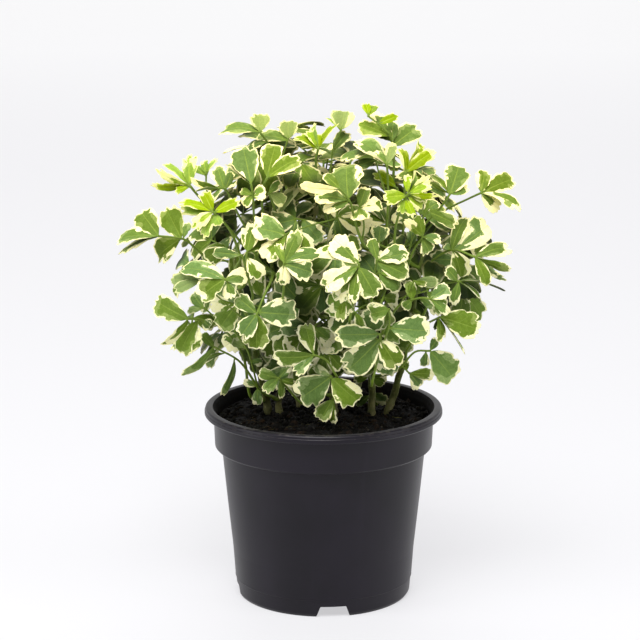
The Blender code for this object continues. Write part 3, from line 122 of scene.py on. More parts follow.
STEM_SOCKET = 11.0         # how far a stem runs down into the soil


def at_height(u, v, z):
    d = sight(u, v)
    return EYE + d * ((z - VIEW_HIGH) / d[2])


def stem_paths():
    out = []
    for name, pts, r0, r1 in STEMS:
        p = []
        for u, v, a in pts:
            p.append(at_height(u, v, SOIL_TOP) if a is None else place(u, v, a))
        root = p[0] + unit(p[0] - p[1]) * 2.0
        root[2] = SOIL_TOP - STEM_SOCKET
        p = [root] + p
        n = len(p)
        rad = [r0 * 1.05] + [r0 + (r1 - r0) * (i / (n - 2)) ** 0.8 for i in range(n - 1)]
        out.append((name,) + spline(p, rad, 2))
    return out


# ---------------------------------------------------------------- leaves
# Each compound leaf or side shoot: name, how far out in the canopy it sits
# (1 = on its surface), its stalks as lines of front-view points from the stem
# side outward, and its leaflets (u, v at the base, u, v at the tip, width in
# the same unit, kind). Kinds: g green, d deep green with little cream (partly
# painted shade, for leaflets that sit in shadow), y grey-green, c mostly cream,
# l young lime, p pale underside.
LEAVES = [
    ("leaf_front_centre", 1.08, [[(350, 318), (355, 293), (358, 275), (359, 264)], [(355, 293), (344, 300)]],
     [(355, 261, 317, 249, 15, "g"), (353, 259, 332, 238, 25, "c"), (356, 266, 323, 288, 22, "c"), (356, 269, 335, 301, 18, "g"),
      (357, 270, 353, 303, 12, "g"), (360, 267, 377, 297, 24, "g"), (340, 303, 339, 322, 12, "y"), (345, 302, 351, 314, 9, "c")]),
    ("leaf_front_low_right", 1.05, [[(374, 375), (379, 352), (380, 334)], [(379, 352), (389, 328), (389, 309)]],
     [(375, 331, 335, 334, 24, "g"), (377, 339, 346, 372, 30, "g"), (381, 340, 398, 367, 24, "c"), (389, 328, 430, 332, 30, "g"),
      (388, 307, 368, 315, 22, "g")]),
    ("leaf_front_low_left", 1.02, [[(272, 278), (264, 296), (257, 314)]],
     [(255, 313, 237, 295, 17, "d"), (257, 316, 240, 337, 20, "g"), (257, 317, 258, 350, 27, "g"), (260, 313, 298, 316, 30, "g")]),
    ("leaf_front_bottom", 1.0, [[(333, 402), (333, 388), (331, 376)]],
     [(329, 377, 299, 401, 34, "g"), (334, 377, 358, 403, 28, "g"), (331, 373, 313, 366, 9, "p"),
      (330, 399, 319, 421, 18, "d"), (335, 400, 333, 424, 9, "g")]),
    ("leaf_left_mid", 1.0, [[(250, 325), (238, 297), (225, 279)], [(250, 325), (216, 295), (201, 281)]],
     [(223, 277, 182, 267, 19, "g"), (222, 281, 198, 297, 24, "g"), (227, 278, 248, 274, 18, "c"), (225, 284, 232, 299, 14, "c"),
      (199, 280, 171, 280, 14, "p"), (198, 283, 174, 291, 9, "p")]),
    ("leaf_centre_left", 1.0, [[(281, 308), (284, 285), (284, 263)]],
     [(283, 261, 297, 229, 16, "g"), (283, 264, 281, 285, 15, "c"), (286, 264, 314, 272, 22, "g"), (286, 262, 321, 253, 15, "g"),
      (283, 259, 278, 243, 9, "g")]),
    ("leaf_centre_right", 1.0, [[(372, 298), (374, 278), (377, 260)]],
     [(379, 258, 408, 253, 20, "c"), (379, 262, 408, 277, 20, "g"), (376, 257, 372, 238, 12, "d")]),
    ("leaf_right_mid", 0.95, [[(415, 292), (425, 268), (451, 250), (475, 257)]],
     [(453, 247, 466, 216, 14, "d"), (456, 245, 489, 224, 30, "c"), (452, 252, 462, 280, 24, "c"), (451, 249, 444, 245, 7, "g"),
      (475, 256, 511, 247, 16, "g"), (478, 259, 510, 270, 9, "g"), (480, 261, 506, 281, 7, "g"), (476, 259, 486, 286, 13, "g")]),
    ("leaf_upper_centre", 0.95, [[(362, 242), (355, 222), (350, 202), (340, 189)], [(362, 242), (364, 224), (359, 208)]],
     [(349, 199, 345, 165, 34, "g"), (341, 189, 301, 184, 11, "c"), (338, 188, 324, 174, 10, "g"), (347, 201, 314, 196, 16, "g"),
      (347, 203, 323, 210, 12, "c"), (359, 206, 360, 221, 20, "y"), (361, 206, 382, 204, 15, "c"), (360, 204, 366, 186, 14, "d")]),
    ("shoot_lime_right", 1.0, [[(394, 248), (396, 225), (402, 206), (408, 194)]],
     [(404, 194, 382, 198, 16, "l"), (412, 195, 428, 196, 16, "l"), (408, 190, 408, 174, 9, "l"), (411, 190, 417, 172, 7, "l"),
      (413, 190, 429, 176, 10, "l"), (414, 192, 432, 186, 7, "l"), (416, 193, 437, 196, 8, "l"), (406, 198, 402, 215, 14, "l"),
      (412, 198, 423, 208, 12, "l"), (409, 200, 413, 217, 9, "l")]),
    ("shoot_lime_left", 0.98, [[(240, 255), (232, 234), (222, 220), (213, 212)]],
     [(209, 212, 181, 209, 14, "l"), (209, 210, 180, 202, 8, "l"), (211, 209, 203, 191, 14, "l"), (216, 210, 240, 201, 12, "l"),
      (210, 215, 192, 227, 14, "l"), (212, 217, 203, 238, 10, "l"), (215, 215, 220, 226, 11, "l")]),
    ("leaf_upper_left", 0.9, [[(262, 206), (262, 190), (267, 178)]],
     [(267, 177, 277, 143, 22, "g"), (269, 177, 300, 158, 18, "g"), (269, 180, 298, 172, 9, "g")]),
    ("leaf_upper_left_outer", 0.88, [[(255, 252), (254, 222), (253, 196), (251, 184)]],
     [(250, 183, 244, 147, 28, "g"), (250, 183, 228, 163, 10, "g"), (252, 196, 243, 205, 12, "g"), (254, 196, 266, 192, 14, "c"),
      (252, 195, 240, 191, 8, "g")]),
    ("leaf_left_upper_mid", 0.86, [[(252, 292), (246, 270), (247, 252)], [(246, 270), (242, 255)]],
     [(248, 250, 255, 222, 19, "g"), (249, 249, 268, 240, 12, "d"), (251, 257, 262, 278, 18, "c"), (241, 254, 213, 251, 12, "g"),
      (244, 268, 250, 252, 11, "g")]),
    ("leaf_right_low", 0.92, [[(388, 322), (400, 305), (420, 298), (430, 299)], [(400, 305), (408, 293), (414, 281)]],
     [(411, 298, 408, 280, 12, "g"), (412, 301, 403, 309, 11, "g"), (420, 299, 434, 308, 9, "g"), (431, 299, 450, 287, 16, "g"),
      (433, 301, 449, 313, 10, "g"), (418, 280, 438, 283, 12, "p"), (414, 277, 427, 285, 7, "g")]),
    ("leaf_left_outer", 0.9, [[(214, 266), (205, 257), (195, 248), (183, 239), (158, 236)]],
     [(182, 236, 167, 208, 25, "d"), (181, 240, 156, 257, 25, "g"), (159, 235, 141, 211, 25, "g"), (154, 236, 118, 239, 15, "g"),
      (152, 240, 120, 254, 12, "g"), (184, 236, 190, 223, 8, "y")]),
    ("leaf_left_low", 0.86, [[(240, 350), (222, 328), (200, 320), (188, 319)], [(222, 328), (212, 315), (204, 308)]],
     [(189, 318, 155, 302, 24, "g"), (198, 322, 181, 355, 22, "g"), (188, 321, 161, 344, 8, "g"), (203, 320, 211, 327, 13, "g"),
      (203, 306, 192, 293, 12, "d"), (202, 308, 187, 312, 8, "p")]),
    ("leaf_low_left_pair", 0.98, [[(334, 372), (326, 360), (314, 355)]],
     [(313, 352, 304, 322, 19, "g"), (312, 355, 273, 356, 17, "g"), (312, 357, 296, 375, 14, "g")]),
    ("leaf_low_left_small", 0.92, [[(300, 402), (289, 390), (279, 378)]],
     [(277, 379, 263, 391, 12, "g"), (281, 379, 296, 383, 9, "g"), (279, 380, 281, 399, 7, "g"), (281, 376, 291, 364, 10, "g"),
      (277, 374, 258, 372, 13, "g")]),
    ("leaf_right_lower_outer", 0.86, [[(412, 342), (424, 326), (440, 317)]],
     [(446, 316, 481, 331, 28, "g"), (437, 318, 437, 330, 8, "d"), (444, 319, 464, 353, 9, "g"), (440, 320, 440, 342, 9, "y")]),
    ("leaf_right_bottom", 0.88, [[(402, 366), (415, 352), (430, 351)], [(402, 366), (409, 373)]],
     [(433, 352, 456, 380, 30, "g"), (426, 351, 424, 367, 10, "g"), (430, 348, 437, 338, 9, "d"),
      (410, 372, 434, 373, 13, "d"), (411, 374, 421, 387, 15, "g"), (407, 371, 404, 360, 8, "g")]),
    ("leaf_basal_right", 0.04, [[(376, 404), (371, 392), (370, 376)]],
     [(373, 394, 388, 402, 12, "g"), (370, 395, 356, 405, 8, "g"), (372, 374, 386, 382, 14, "g"), (368, 374, 353, 380, 9, "g")]),
    ("leaf_top_right", 0.72, [[(393, 182), (394, 162), (393, 145), (389, 134)], [(389, 134), (378, 124), (368, 116)]],
     [(388, 137, 358, 124, 16, "g"), (390, 137, 371, 112, 13, "g"), (391, 142, 392, 120, 13, "g"), (390, 142, 378, 132, 9, "d"),
      (395, 146, 418, 127, 22, "g"), (368, 117, 366, 103, 10, "l"), (369, 115, 377, 105, 8, "l"), (380, 122, 398, 116, 9, "l")]),
    ("leaf_top_right_inner", 0.8, [[(386, 240), (388, 200), (387, 165)], [(388, 200), (378, 170), (375, 151)]],
     [(386, 164, 356, 140, 17, "g"), (389, 163, 393, 143, 12, "p"), (385, 164, 374, 152, 10, "g"), (374, 151, 340, 160, 12, "d"),
      (375, 160, 352, 168, 12, "d")]),
    ("shoot_lime_top", 0.85, [[(402, 240), (404, 208), (405, 173)], [(404, 208), (397, 188)]],
     [(406, 168, 402, 148, 9, "l"), (409, 169, 420, 141, 11, "l"), (412, 168, 434, 150, 14, "l"), (409, 171, 433, 166, 8, "l"),
      (394, 184, 374, 173, 12, "l"), (395, 187, 380, 184, 7, "l")]),
    ("leaf_top_centre", 0.7, [[(324, 197), (316, 166), (318, 149)], [(324, 197), (331, 165), (333, 150), (341, 130)]],
     [(316, 147, 294, 137, 10, "l"), (316, 146, 306, 131, 8, "l"), (318, 146, 318, 133, 7, "l"), (320, 147, 337, 124, 10, "l"),
      (317, 146, 313, 124, 8, "l"), (342, 128, 345, 111, 24, "p"), (340, 128, 327, 117, 6, "l"), (334, 151, 349, 132, 14, "y"),
      (331, 153, 302, 148, 8, "d")]),
    ("leaf_top_left", 0.62, [[(276, 178), (270, 148), (260, 132)], [(276, 178), (284, 152), (288, 139)]],
     [(257, 133, 220, 131, 15, "g"), (258, 131, 259, 114, 20, "p"), (286, 140, 257, 137, 13, "d"), (286, 136, 289, 120, 19, "p"),
      (266, 142, 252, 145, 7, "g")]),
    ("leaf_inner_left", 0.7, [[(289, 262), (285, 245), (283, 229), (276, 212), (269, 193)]],
     [(284, 229, 315, 203, 13, "d"), (288, 231, 314, 218, 9, "p"), (275, 229, 277, 214, 13, "g"), (269, 191, 286, 203, 14, "p"),
      (269, 190, 283, 183, 10, "d"), (285, 214, 300, 182, 13, "p")]),
    ("leaf_right_upper", 0.78, [[(402, 250), (412, 240), (427, 222), (441, 207), (450, 194)]],
     [(451, 191, 459, 164, 26, "g"), (453, 193, 468, 187, 11, "g"), (446, 189, 431, 175, 8, "g"), (446, 182, 421, 172, 7, "y")]),
    ("leaf_right_outer", 0.55, [[(414, 246), (430, 226), (444, 211), (468, 199), (481, 193)]],
     [(481, 190, 484, 170, 16, "g"), (485, 192, 514, 177, 20, "g"), (485, 196, 499, 211, 15, "c"), (487, 194, 523, 209, 12, "c")]),
    ("leaf_right_inner", 0.72, [[(406, 270), (414, 250), (423, 237)], [(406, 270), (412, 240), (428, 209)]],
     [(421, 235, 404, 221, 10, "y"), (423, 234, 418, 215, 11, "y"), (422, 239, 430, 253, 16, "g"), (429, 207, 438, 202, 10, "d"),
      (429, 212, 458, 225, 14, "g"), (409, 246, 411, 230, 11, "d"), (424, 233, 442, 241, 10, "y")]),
    ("leaf_right_mid_low", 0.7, [[(422, 318), (438, 288), (459, 281)]],
     [(461, 281, 504, 293, 9, "p"), (461, 282, 482, 301, 9, "y"), (457, 279, 445, 268, 12, "d"), (461, 284, 453, 305, 11, "d")]),
    ("leaf_upper_left_far", 0.78, [[(240, 218), (232, 202), (226, 190), (219, 188)]],
     [(225, 188, 216, 166, 16, "d"), (226, 188, 233, 172, 9, "d"), (219, 187, 190, 179, 8, "g"), (219, 189, 196, 192, 7, "g")]),
    ("shoot_lime_far_left", 0.8, [[(216, 214), (200, 198), (190, 186)], [(216, 214), (207, 192), (206, 174)]],
     [(188, 179, 190, 155, 15, "l"), (187, 183, 150, 186, 8, "l"), (186, 182, 156, 172, 9, "l"), (185, 180, 166, 162, 8, "l"),
      (189, 188, 175, 191, 8, "l"), (205, 176, 195, 167, 8, "l"), (206, 173, 204, 160, 8, "l"), (207, 175, 218, 158, 7, "l")]),
    ("leaf_left_lower", 0.74, [[(258, 388), (240, 362), (214, 347)], [(258, 388), (248, 352), (236, 334)]],
     [(212, 345, 203, 333, 10, "d"), (211, 348, 182, 376, 9, "g"), (224, 353, 196, 365, 8, "d"), (234, 360, 223, 395, 8, "g"),
      (235, 333, 229, 309, 14, "d"), (242, 350, 232, 340, 10, "p"), (250, 360, 263, 363, 9, "y"),
      (258, 388, 257, 406, 11, "g"), (257, 386, 243, 381, 8, "g")]),
]

# Shoots that fill the crown behind and inside, by direction from its centre:
# name, azimuth in degrees (0 at the viewer, 90 at the right), height angle,
# reach (1 = canopy surface), number of compound leaves, leaflets in each.
SHOOTS = [
    ("shoot_inner_lower", 8, -52, 0.56, 10, 4), ("shoot_inner_low_left", -44, -54, 0.66, 9, 4),
    ("shoot_inner_low_right", 58, -48, 0.62, 8, 4), ("shoot_inner_left", -58, -8, 0.55, 8, 4),
    ("shoot_inner_right", 56, -6, 0.55, 8, 4), ("shoot_inner_upper", 10, 40, 0.58, 10, 4),
    ("shoot_back_low", 180, -30, 0.84, 8, 4), ("shoot_back_left_low", -134, -24, 0.88, 6, 5),
    ("shoot_back_right_low", 138, -24, 0.88, 6, 5), ("shoot_back_mid", 176, 12, 0.95, 7, 5),
    ("shoot_back_left", -146, 24, 0.94, 6, 5), ("shoot_back_right", 146, 22, 0.94, 6, 5),
    ("shoot_side_left", -99, 2, 0.86, 6, 5), ("shoot_side_right", 100, 13, 0.84, 6, 5),
    ("shoot_back_top", 180, 54, 0.95, 6, 5), ("shoot_top", -100, 80, 0.95, 7, 5),
]
CROWN_MID = np.array([0.0, 0.0, 148.0])
CROWN_HALF = np.array([72.0, 64.0, 58.0])
PER_UNIT = 0.413           # millimetres per view unit at the axis


class World:
    """What has been placed so far, for keeping pieces clear of each other."""

    def __init__(self):
        self.lo, self.hi = np.zeros((6000, 3)), np.zeros((6000, 3))
        self.trees, self.owner = [], []

    def hits(self, verts, faces, skip=None, kinds=None):
        lo, hi = verts.min(0), verts.max(0)
        k = len(self.trees)
        near = np.nonzero(((self.lo[:k] <= hi) & (self.hi[:k] >= lo)).all(1))[0]
        near = [i for i in near if skip is None or not skip(self.owner[i])]
        if not near:
            return 0
        me = BVHTree.FromPolygons([tuple(v) for v in verts], faces)
        return sum(1 for i in near if me.overlap(self.trees[i]))

    def add(self, verts, faces, owner):
        k = len(self.trees)
        self.lo[k], self.hi[k] = verts.min(0), verts.max(0)
        self.trees.append(BVHTree.FromPolygons([tuple(v) for v in verts], faces))
        self.owner.append(owner)


class Cover:
    """How full the crown looks from five sides, as grids of small cells."""

    CELL = 2.6

    def __init__(self):
        self.g = np.zeros((5, 90, 90), bool)
        i = (np.arange(90) - 45) * self.CELL
        a, b = np.meshgrid(i, i, indexing="ij")
        self.want = np.zeros((5, 90, 90), bool)
        self.want[0] = ((a / 66) ** 2 + (b / 58) ** 2 < 1) | ((np.abs(a - 2) < 34) & (b < 0) & (b > -62))
        self.want[1] = (a / 64) ** 2 + (b / 56) ** 2 < 1
        self.want[2] = (a / 56) ** 2 + (b / 56) ** 2 < 1
        self.want[3] = self.want[2]
        self.want[4] = (a / 64) ** 2 + (b / 56) ** 2 < 1

    def spots(self, p):
        """(side, a, b) of a point on each side that sees it."""
        x, y, z = p - CROWN_MID
        d = p - EYE
        s = (VIEW_DIST / float(d @ FWD))
        out = [(0, float(d @ RGT) * s + VIEW_X, (float(d @ UPV) * s) + 5.0)]
        if y > 4:
            out.append((1, x, z))
        if x < -4:
            out.append((2, y, z))
        if x > 4:
            out.append((3, y, z))
        if z > 4:
            out.append((4, x, y))
        return out

    def cells(self, p, r):
        for side, a, b in self.spots(p):
            k = int(r / self.CELL) + 1
            i0, j0 = int(round(a / self.CELL)) + 45, int(round(b / self.CELL)) + 45
            for i in range(max(0, i0 - k), min(90, i0 + k + 1)):
                for j in range(max(0, j0 - k), min(90, j0 + k + 1)):
                    if math.hypot((i - 45) * self.CELL - a, (j - 45) * self.CELL - b) <= r:
                        yield side, i, j

    def mark(self, lf):
        for t in (0.35, 0.6, 0.85):
            for c in self.cells(lf["A"] * (1 - t) + lf["T"] * t, lf["W"] * 0.42):
                self.g[c] = True

    def gain(self, p, r):
        return sum(1.0 + 0.6 * (c[0] == 0) for c in self.cells(p, r) if self.want[c] and not self.g[c])


def tube(path, radii, sides=4, grow=0.0):
    # closed tube for clearance tests
    p = np.array(path)
    n = len(p)
    t = np.gradient(p, axis=0)
    verts = []
    a = np.cross(t[0], [0.3, 0.9, 0.2])
    for i in range(n):
        d = unit(t[i])
        a = unit(a - d * float(a @ d))
        b = np.cross(d, a)
        r = radii[i] + grow
        for k in range(sides):
            w = 2 * math.pi * k / sides
            verts.append(p[i] + (a * math.cos(w) + b * math.sin(w)) * r)
    faces = []
    for i in range(n - 1):
        for k in range(sides):
            k2 = (k + 1) % sides
            faces.append((i * sides + k, i * sides + k2, (i + 1) * sides + k2, (i + 1) * sides + k))
    faces.append(tuple(range(sides))[::-1])
    faces.append(tuple((n - 1) * sides + k for k in range(sides)))
    return np.array(verts), faces


# A leaflet's blade is a wedge at its base, widest at two thirds and blunt at
# its tip. blade_points() gives the few points of its plan, as (along, across).
WIDEST = 0.64
BIG = 7.4                  # leaflets wider than this (mm) get a midrib fold


def blade_points(lf, inset=0.0, shift=0.0):
    A, T, N, W = lf["A"], lf["T"], lf["N"], lf["W"]
    d = T - A
    L = float(np.linalg.norm(d))
    d = d / L
    w = np.cross(N, d)
    w = unit(w)
    n = np.cross(d, w)
    h = W / 2 + inset
    arch, fold = lf["arch"] * L, lf["fold"] * h

    def at(x, s, lift=0.0):
        return A + d * (x * L) + w * (s * h) + n * (arch * 4 * x * (1 - x) + abs(s) * fold + shift + lift)
    big = W >= BIG and not lf.get("plain")
    if big:
        pts = [at(0.0, 0), at(WIDEST, 1), at(0.92, 0.62), at(1.0, 0.0), at(0.92, -0.62), at(WIDEST, -1), at(WIDEST, 0)]
        tri = [(0, 6, 1), (1, 6, 2), (2, 6, 3), (3, 6, 4), (4, 6, 5), (5, 6, 0)]
    elif lf.get("plain"):
        pts = [at(0.0, 0), at(WIDEST + 0.06, 1), at(1.0, 0.0), at(WIDEST + 0.06, -1)]
        tri = [(0, 3, 1), (1, 3, 2)]
    else:
        pts = [at(0.0, 0), at(WIDEST, 1), at(1.0, 0.42), at(1.0, -0.42), at(WIDEST, -1)]
        tri = [(0, 4, 1), (1, 4, 3), (1, 3, 2)]
    return np.array(pts), tri, n


def blade_solid(lf, thick, inset=0.0, start=0.0):
    # closed plate around the blade, for clearance tests
    pts, tri, n = blade_points(lf, inset)
    if start:
        pts = pts.copy()
        pts[0] = pts[0] + (lf["T"] - lf["A"]) * start
    k = len(pts)
    ring = list(range(k - 1)) if len(tri) == 6 else list(range(k))
    v = np.concatenate([pts + n * thick / 2, pts - n * thick / 2])
    faces = [tuple(t) for t in tri] + [tuple(i + k for i in t[::-1]) for t in tri]
    for i, a in enumerate(ring):
        b = ring[(i + 1) % len(ring)]
        faces.append((a, b, b + k, a + k))
    return v, faces


def nearest_on(axes, u, v):
    # closest point of the stalk lines, in the front view
    best = None
    for ai, ax in enumerate(axes):
        for i in range(len(ax) - 1):
            a, b = np.array(ax[i], float), np.array(ax[i + 1], float)
            t = float(np.clip(((np.array([u, v]) - a) @ (b - a)) / max(float((b - a) @ (b - a)), 1e-6), 0, 1))
            dd = float(np.linalg.norm(a + (b - a) * t - np.array([u, v])))
            if best is None or dd < best[0] - 1e-6:
                best = (dd, ai, i, t)
    return best[1:]


def leaflet_from_view(A, spec, seed, lean, facing):
    """One leaflet whose base, tip and width are given in the front view."""
    bu, bv, tu, tv, wpx, kind = spec
    rnd = random.Random(seed)
    ahead = -float(A[1])
    B = place(bu, bv, ahead)
    flat_tip = place(tu, tv, ahead)
    span = flat_tip - B
    lp = float(np.linalg.norm(span))
    wp = wpx * PER_UNIT * (VIEW_DIST - ahead) / VIEW_DIST
    e = unit(span)
    N = unit(facing + e * lean)
    # tip on the plane through the base
    s = sight(tu, tv)
    t = float((B - EYE) @ N) / float(s @ N)
    tip = EYE + s * t
    dep = float(np.clip(tip[1] - B[1], -0.9 * lp, 0.9 * lp))
    # a blade seen short and broad points toward or away from the viewer
    if wp > 0.95 * lp:
        need = math.sqrt(max((0.98 * wp) ** 2 - lp * lp, 0.0))
        if need > abs(dep):
            dep = -need if (span[2] < 0 or rnd.random() < 0.35) else need
    tip = place(tu, tv, -(B[1] + dep))
    d = unit(tip - B)
    N = unit(N - d * float(N @ d))
    # a blade seen thin is on edge
    L = float(np.linalg.norm(tip - B))
    look = unit(B - EYE)
    ratio = wp / L
    if ratio < 0.42:
        ang = math.acos(min(1.0, ratio / 0.44))
        side = 1.0 if float(np.cross(d, N)[2]) * 0 + rnd.random() < 0.7 else -1.0
        Na, Nb = turn(N, d, ang), turn(N, d, -ang)
        N = (Na if Na[2] > Nb[2] else Nb) if side > 0 else (Nb if Na[2] > Nb[2] else Na)
    w = unit(np.cross(N, d))
    # width seen square to the leaflet's direction in the view
    across = w - look * float(w @ look)
    e2 = unit(d - look * float(d @ look))
    across = across - e2 * float(across @ e2)
    seen = max(float(np.linalg.norm(across)), 0.3)
    W = min(wp / seen, 1.0 * L + 1.0, 1.9 * wp)
    return dict(A=A + (B - A) * 0.0, B=B, T=tip, N=N, W=W, arch=rnd.uniform(0.03, 0.09), fold=rnd.uniform(0.10, 0.30),
                kind=kind, seed=seed)


def vary(lf, spread):
    """Small turns of a leaflet, the slightest first."""
    yield lf
    d = unit(lf["T"] - lf["A"])
    w = unit(np.cross(lf["N"], d))
    L = float(np.linalg.norm(lf["T"] - lf["A"]))
    for k in spread:
        for roll, pitch in ((0, k), (0, -k), (k, 0), (-k, 0), (k, k), (-k, k), (k, -k), (-k, -k)):
            c = dict(lf)
            N = turn(lf["N"], d, roll)
            T = lf["A"] + turn(lf["T"] - lf["A"], w, pitch)
            if lf.get("view"):
                T = place(lf["view"][2], lf["view"][3], -T[1])
            dd = unit(T - lf["A"])
            N = turn(N, w, pitch)
            c["T"], c["N"] = T, unit(N - dd * float(N @ dd))
            yield c


def arc_length(path):
    return sum(float(np.linalg.norm(b - a)) for a, b in zip(path, path[1:]))


def point_along(path, x):
    for a, b in zip(path, path[1:]):
        s = float(np.linalg.norm(b - a))
        if x <= s:
            return a + (b - a) * (x / max(s, 1e-9))
        x -= s
    return path[-1]


def shrink(lf, f):
    c = dict(lf)
    c["T"] = lf["A"] + (lf["T"] - lf["A"]) * f
    c["W"] = lf["W"] * f
    return c


def layout():
    """Stems, stalks and leaflets of the whole crown, in millimetres."""
    world = World()
    stems = stem_paths()
    for name, path, rad in stems:
        v, f = tube(path, rad, 8, 0.35)
        world.add(v, f, (name, "stem"))
    # rim and soil as things to keep off
    ring = []
    for k in range(33):
        w = 2 * math.pi * k / 32
        ring.append(np.array([48.8 * math.cos(w), 48.8 * math.sin(w), POT_HIGH - 2.0]))
    v, f = tube(ring, [3.4] * 33, 6)
    world.add(v, f, ("pot", "pot"))
    gx = np.array([[-50, -50, SOIL_TOP + 1.5], [50, -50, SOIL_TOP + 1.5], [50, 50, SOIL_TOP + 1.5], [-50, 50, SOIL_TOP + 1.5],
                   [-50, -50, SOIL_TOP - 4], [50, -50, SOIL_TOP - 4], [50, 50, SOIL_TOP - 4], [-50, 50, SOIL_TOP - 4]], float)
    world.add(gx, [(0, 1, 2, 3), (7, 6, 5, 4), (0, 4, 5, 1), (1, 5, 6, 2), (2, 6, 7, 3), (3, 7, 4, 0)], ("soil", "soil"))

    nodes, stats = [], dict(kept=0, shrunk=0, dropped=0, lost=[])
    cover = Cover()

    def stalk_to_stem(first, onward, name, weight=0.5):
        """A clear path from a stem up to the first point of the leaf's own stalk."""
        best = None
        go = unit(onward - first)
        cands = []
        for sname, path, rad in stems:
            for i in range(3, len(path) - 1):
                s = path[i]
                if s[2] < SOIL_TOP + 3:
                    continue
                gap = first - s
                dist = float(np.linalg.norm(gap))
                rise = float(gap[2])
                cost = abs(dist - 22.0) + (max(0.0, 6.0 - rise)) * 1.5 + 12.0 * (1 - float(unit(gap) @ go))
                cands.append((cost, sname, i))
        cands.sort(key=lambda c: c[0])
        for n, (cost, sname, i) in enumerate(cands[:26]):
            path, rad = next((p, r) for s, p, r in stems if s == sname)
            s, r = path[i], rad[i]
            tang = unit(path[min(i + 1, len(path) - 1)] - path[i - 1])
            out = first - s
            out = unit(out - tang * float(out @ tang))
            start = s + out * (r + 0.95)
            dist = float(np.linalg.norm(first - start))
            if dist < 3:
                continue
            for bend in (0.35, 0.15, 0.55):
                c1 = start + unit(out * 0.8 + tang * bend * 1.6) * dist * 0.33
                c2 = first - go * dist * 0.3
                pts = []
                for k in range(5):
                    t = k / 4
                    pts.append(start * (1 - t) ** 3 + c1 * 3 * t * (1 - t) ** 2 + c2 * 3 * t * t * (1 - t) + first * t ** 3)
                v, f = tube(pts, [0.62] * 5, 4, 0.45)
                h = world.hits(v, f)
                if h == 0:
                    return pts, sname, 0
                if best is None or h < best[2]:
                    best = (pts, sname, h)
        return best

    def fit(lf, owner, spread, siblings):
        """First clear variation of a leaflet, or None."""
        for f in (1.0, 0.86, 0.72):
            base = lf if f == 1.0 else shrink(lf, f)
            for c in vary(base, spread):
                if float(c["T"][2]) < SOIL_TOP + 2.5:
                    continue
                v, fc = blade_solid(c, 1.5, 0.35)
                if world.hits(v, fc):
                    continue
                v2, fc2 = blade_solid(c, 0.9, 0.0, 0.3)
                if any(me.overlap(o) for o in siblings for me in (BVHTree.FromPolygons([tuple(q) for q in v2], fc2),)):
                    continue
                return c, f
        return None

    def try_node(name, axes3, specs, spread):
        """Stalk and leaflets at this depth; returns what could be placed."""
        first, onward = axes3[0][0], axes3[0][1]
        got = stalk_to_stem(first, onward, name)
        if got is None:
            return None
        lead, sname, h = got
        main = lead[:-1] + axes3[0]
        bad = h * 4
        for ax in axes3:
            v, f = tube(ax, [0.55] * len(ax), 4, 0.4)
            bad += world.hits(v, f)
        placed, sibs, lost = [], [], []
        worth = 0.0
        for spec in specs:
            r = fit(spec, name, spread, sibs)
            if r is None:
                # allow it over a sibling of the same leaf
                r = fit(spec, name, spread[:2], [])
            if r is None:
                lost.append(spec)
                worth -= spec["W"]
                continue
            c, f = r
            v2, fc2 = blade_solid(c, 0.9, 0.0, 0.3)
            sibs.append(BVHTree.FromPolygons([tuple(q) for q in v2], fc2))
            placed.append((c, f))
            worth += c["W"] * f
        return dict(name=name, main=main, others=axes3[1:], stem=sname, placed=placed, lost=lost, worth=worth - bad * 45, bad=bad)

    def keep(node):
        n = node["name"]
        nodes.append(node)
        v, f = tube(node["main"], [0.6] * len(node["main"]), 4, 0.4)
        world.add(v, f, (n, "stalk"))
        for ax in node["others"]:
            v, f = tube(ax, [0.5] * len(ax), 4, 0.4)
            world.add(v, f, (n, "stalk"))
        for c, f in node["placed"]:
            v, fc = blade_solid(c, 0.9, 0.1)
            world.add(v, fc, (n, "leaflet"))
            cover.mark(c)
            stats["kept"] += 1
            stats["shrunk"] += f < 1
        stats["dropped"] += len(node["lost"])
        if node["lost"] or node["bad"]:
            stats["lost"].append((n, len(node["lost"]), node["bad"]))

    for name, reach, axes, specs in LEAVES:
        best = None
        for off in (0.0, -2.5, 2.5, -5.0, 5.0, -8.0, -11.0, 8.0):
            ju, jv = axes[0][-1]
            ahead = dome(ju, jv) * reach + off
            axes3 = []
            for ax in axes:
                line = []
                for i, (u, v) in enumerate(ax):
                    # stalks lie a little deeper toward the stem
                    back = sum(math.dist(ax[k], ax[k + 1]) for k in range(i, len(ax) - 1)) if ax is axes[0] else 0.0
                    line.append((u, v, back))
                axes3.append(line)
            main3 = [place(u, v, ahead - 0.22 * b) for u, v, b in axes3[0]]
            out3 = [main3]
            for ax in axes[1:]:
                i = axes[0].index(ax[0]) if ax[0] in axes[0] else 0
                root = main3[i]
                line = [root]
                for j, (u, v) in enumerate(ax[1:]):
                    line.append(place(u, v, -root[1] + 0.12 * math.dist(ax[0], (u, v)) + (dome(u, v) - dome(*ax[0])) * 0.4))
                out3.append(line)
            leaflets = []
            for k, spec in enumerate(specs):
                ai, si, t = nearest_on(axes, spec[0], spec[1])
                A = out3[ai][si] * (1 - t) + out3[ai][si + 1] * t
                seed = "%s:%d" % (name, k)
                rnd = random.Random(seed + "f")
                rad = unit((A - CROWN_MID) / CROWN_HALF)
                facing = unit(-FWD * 0.9 + UP * rnd.uniform(0.1, 0.5) + rad * 0.35 + RGT * rnd.uniform(-0.2, 0.2))
                lf = leaflet_from_view(A, spec, seed, rnd.uniform(0.05, 0.38), facing)
                lf["view"] = spec
                lf["A"] = A + unit(lf["T"] - A) * 0.25
                leaflets.append(lf)
            node = try_node(name, out3, leaflets, (0.16, 0.32, 0.5))
            if node is None:
                continue
            score = node["worth"] - abs(off) * 0.6
            if best is None or score > best[0]:
                best = (score, node)
            if not node["lost"] and not node["bad"]:
                break
        keep(best[1])

    for name, az, el, reach, n_leaf, n_let in SHOOTS:
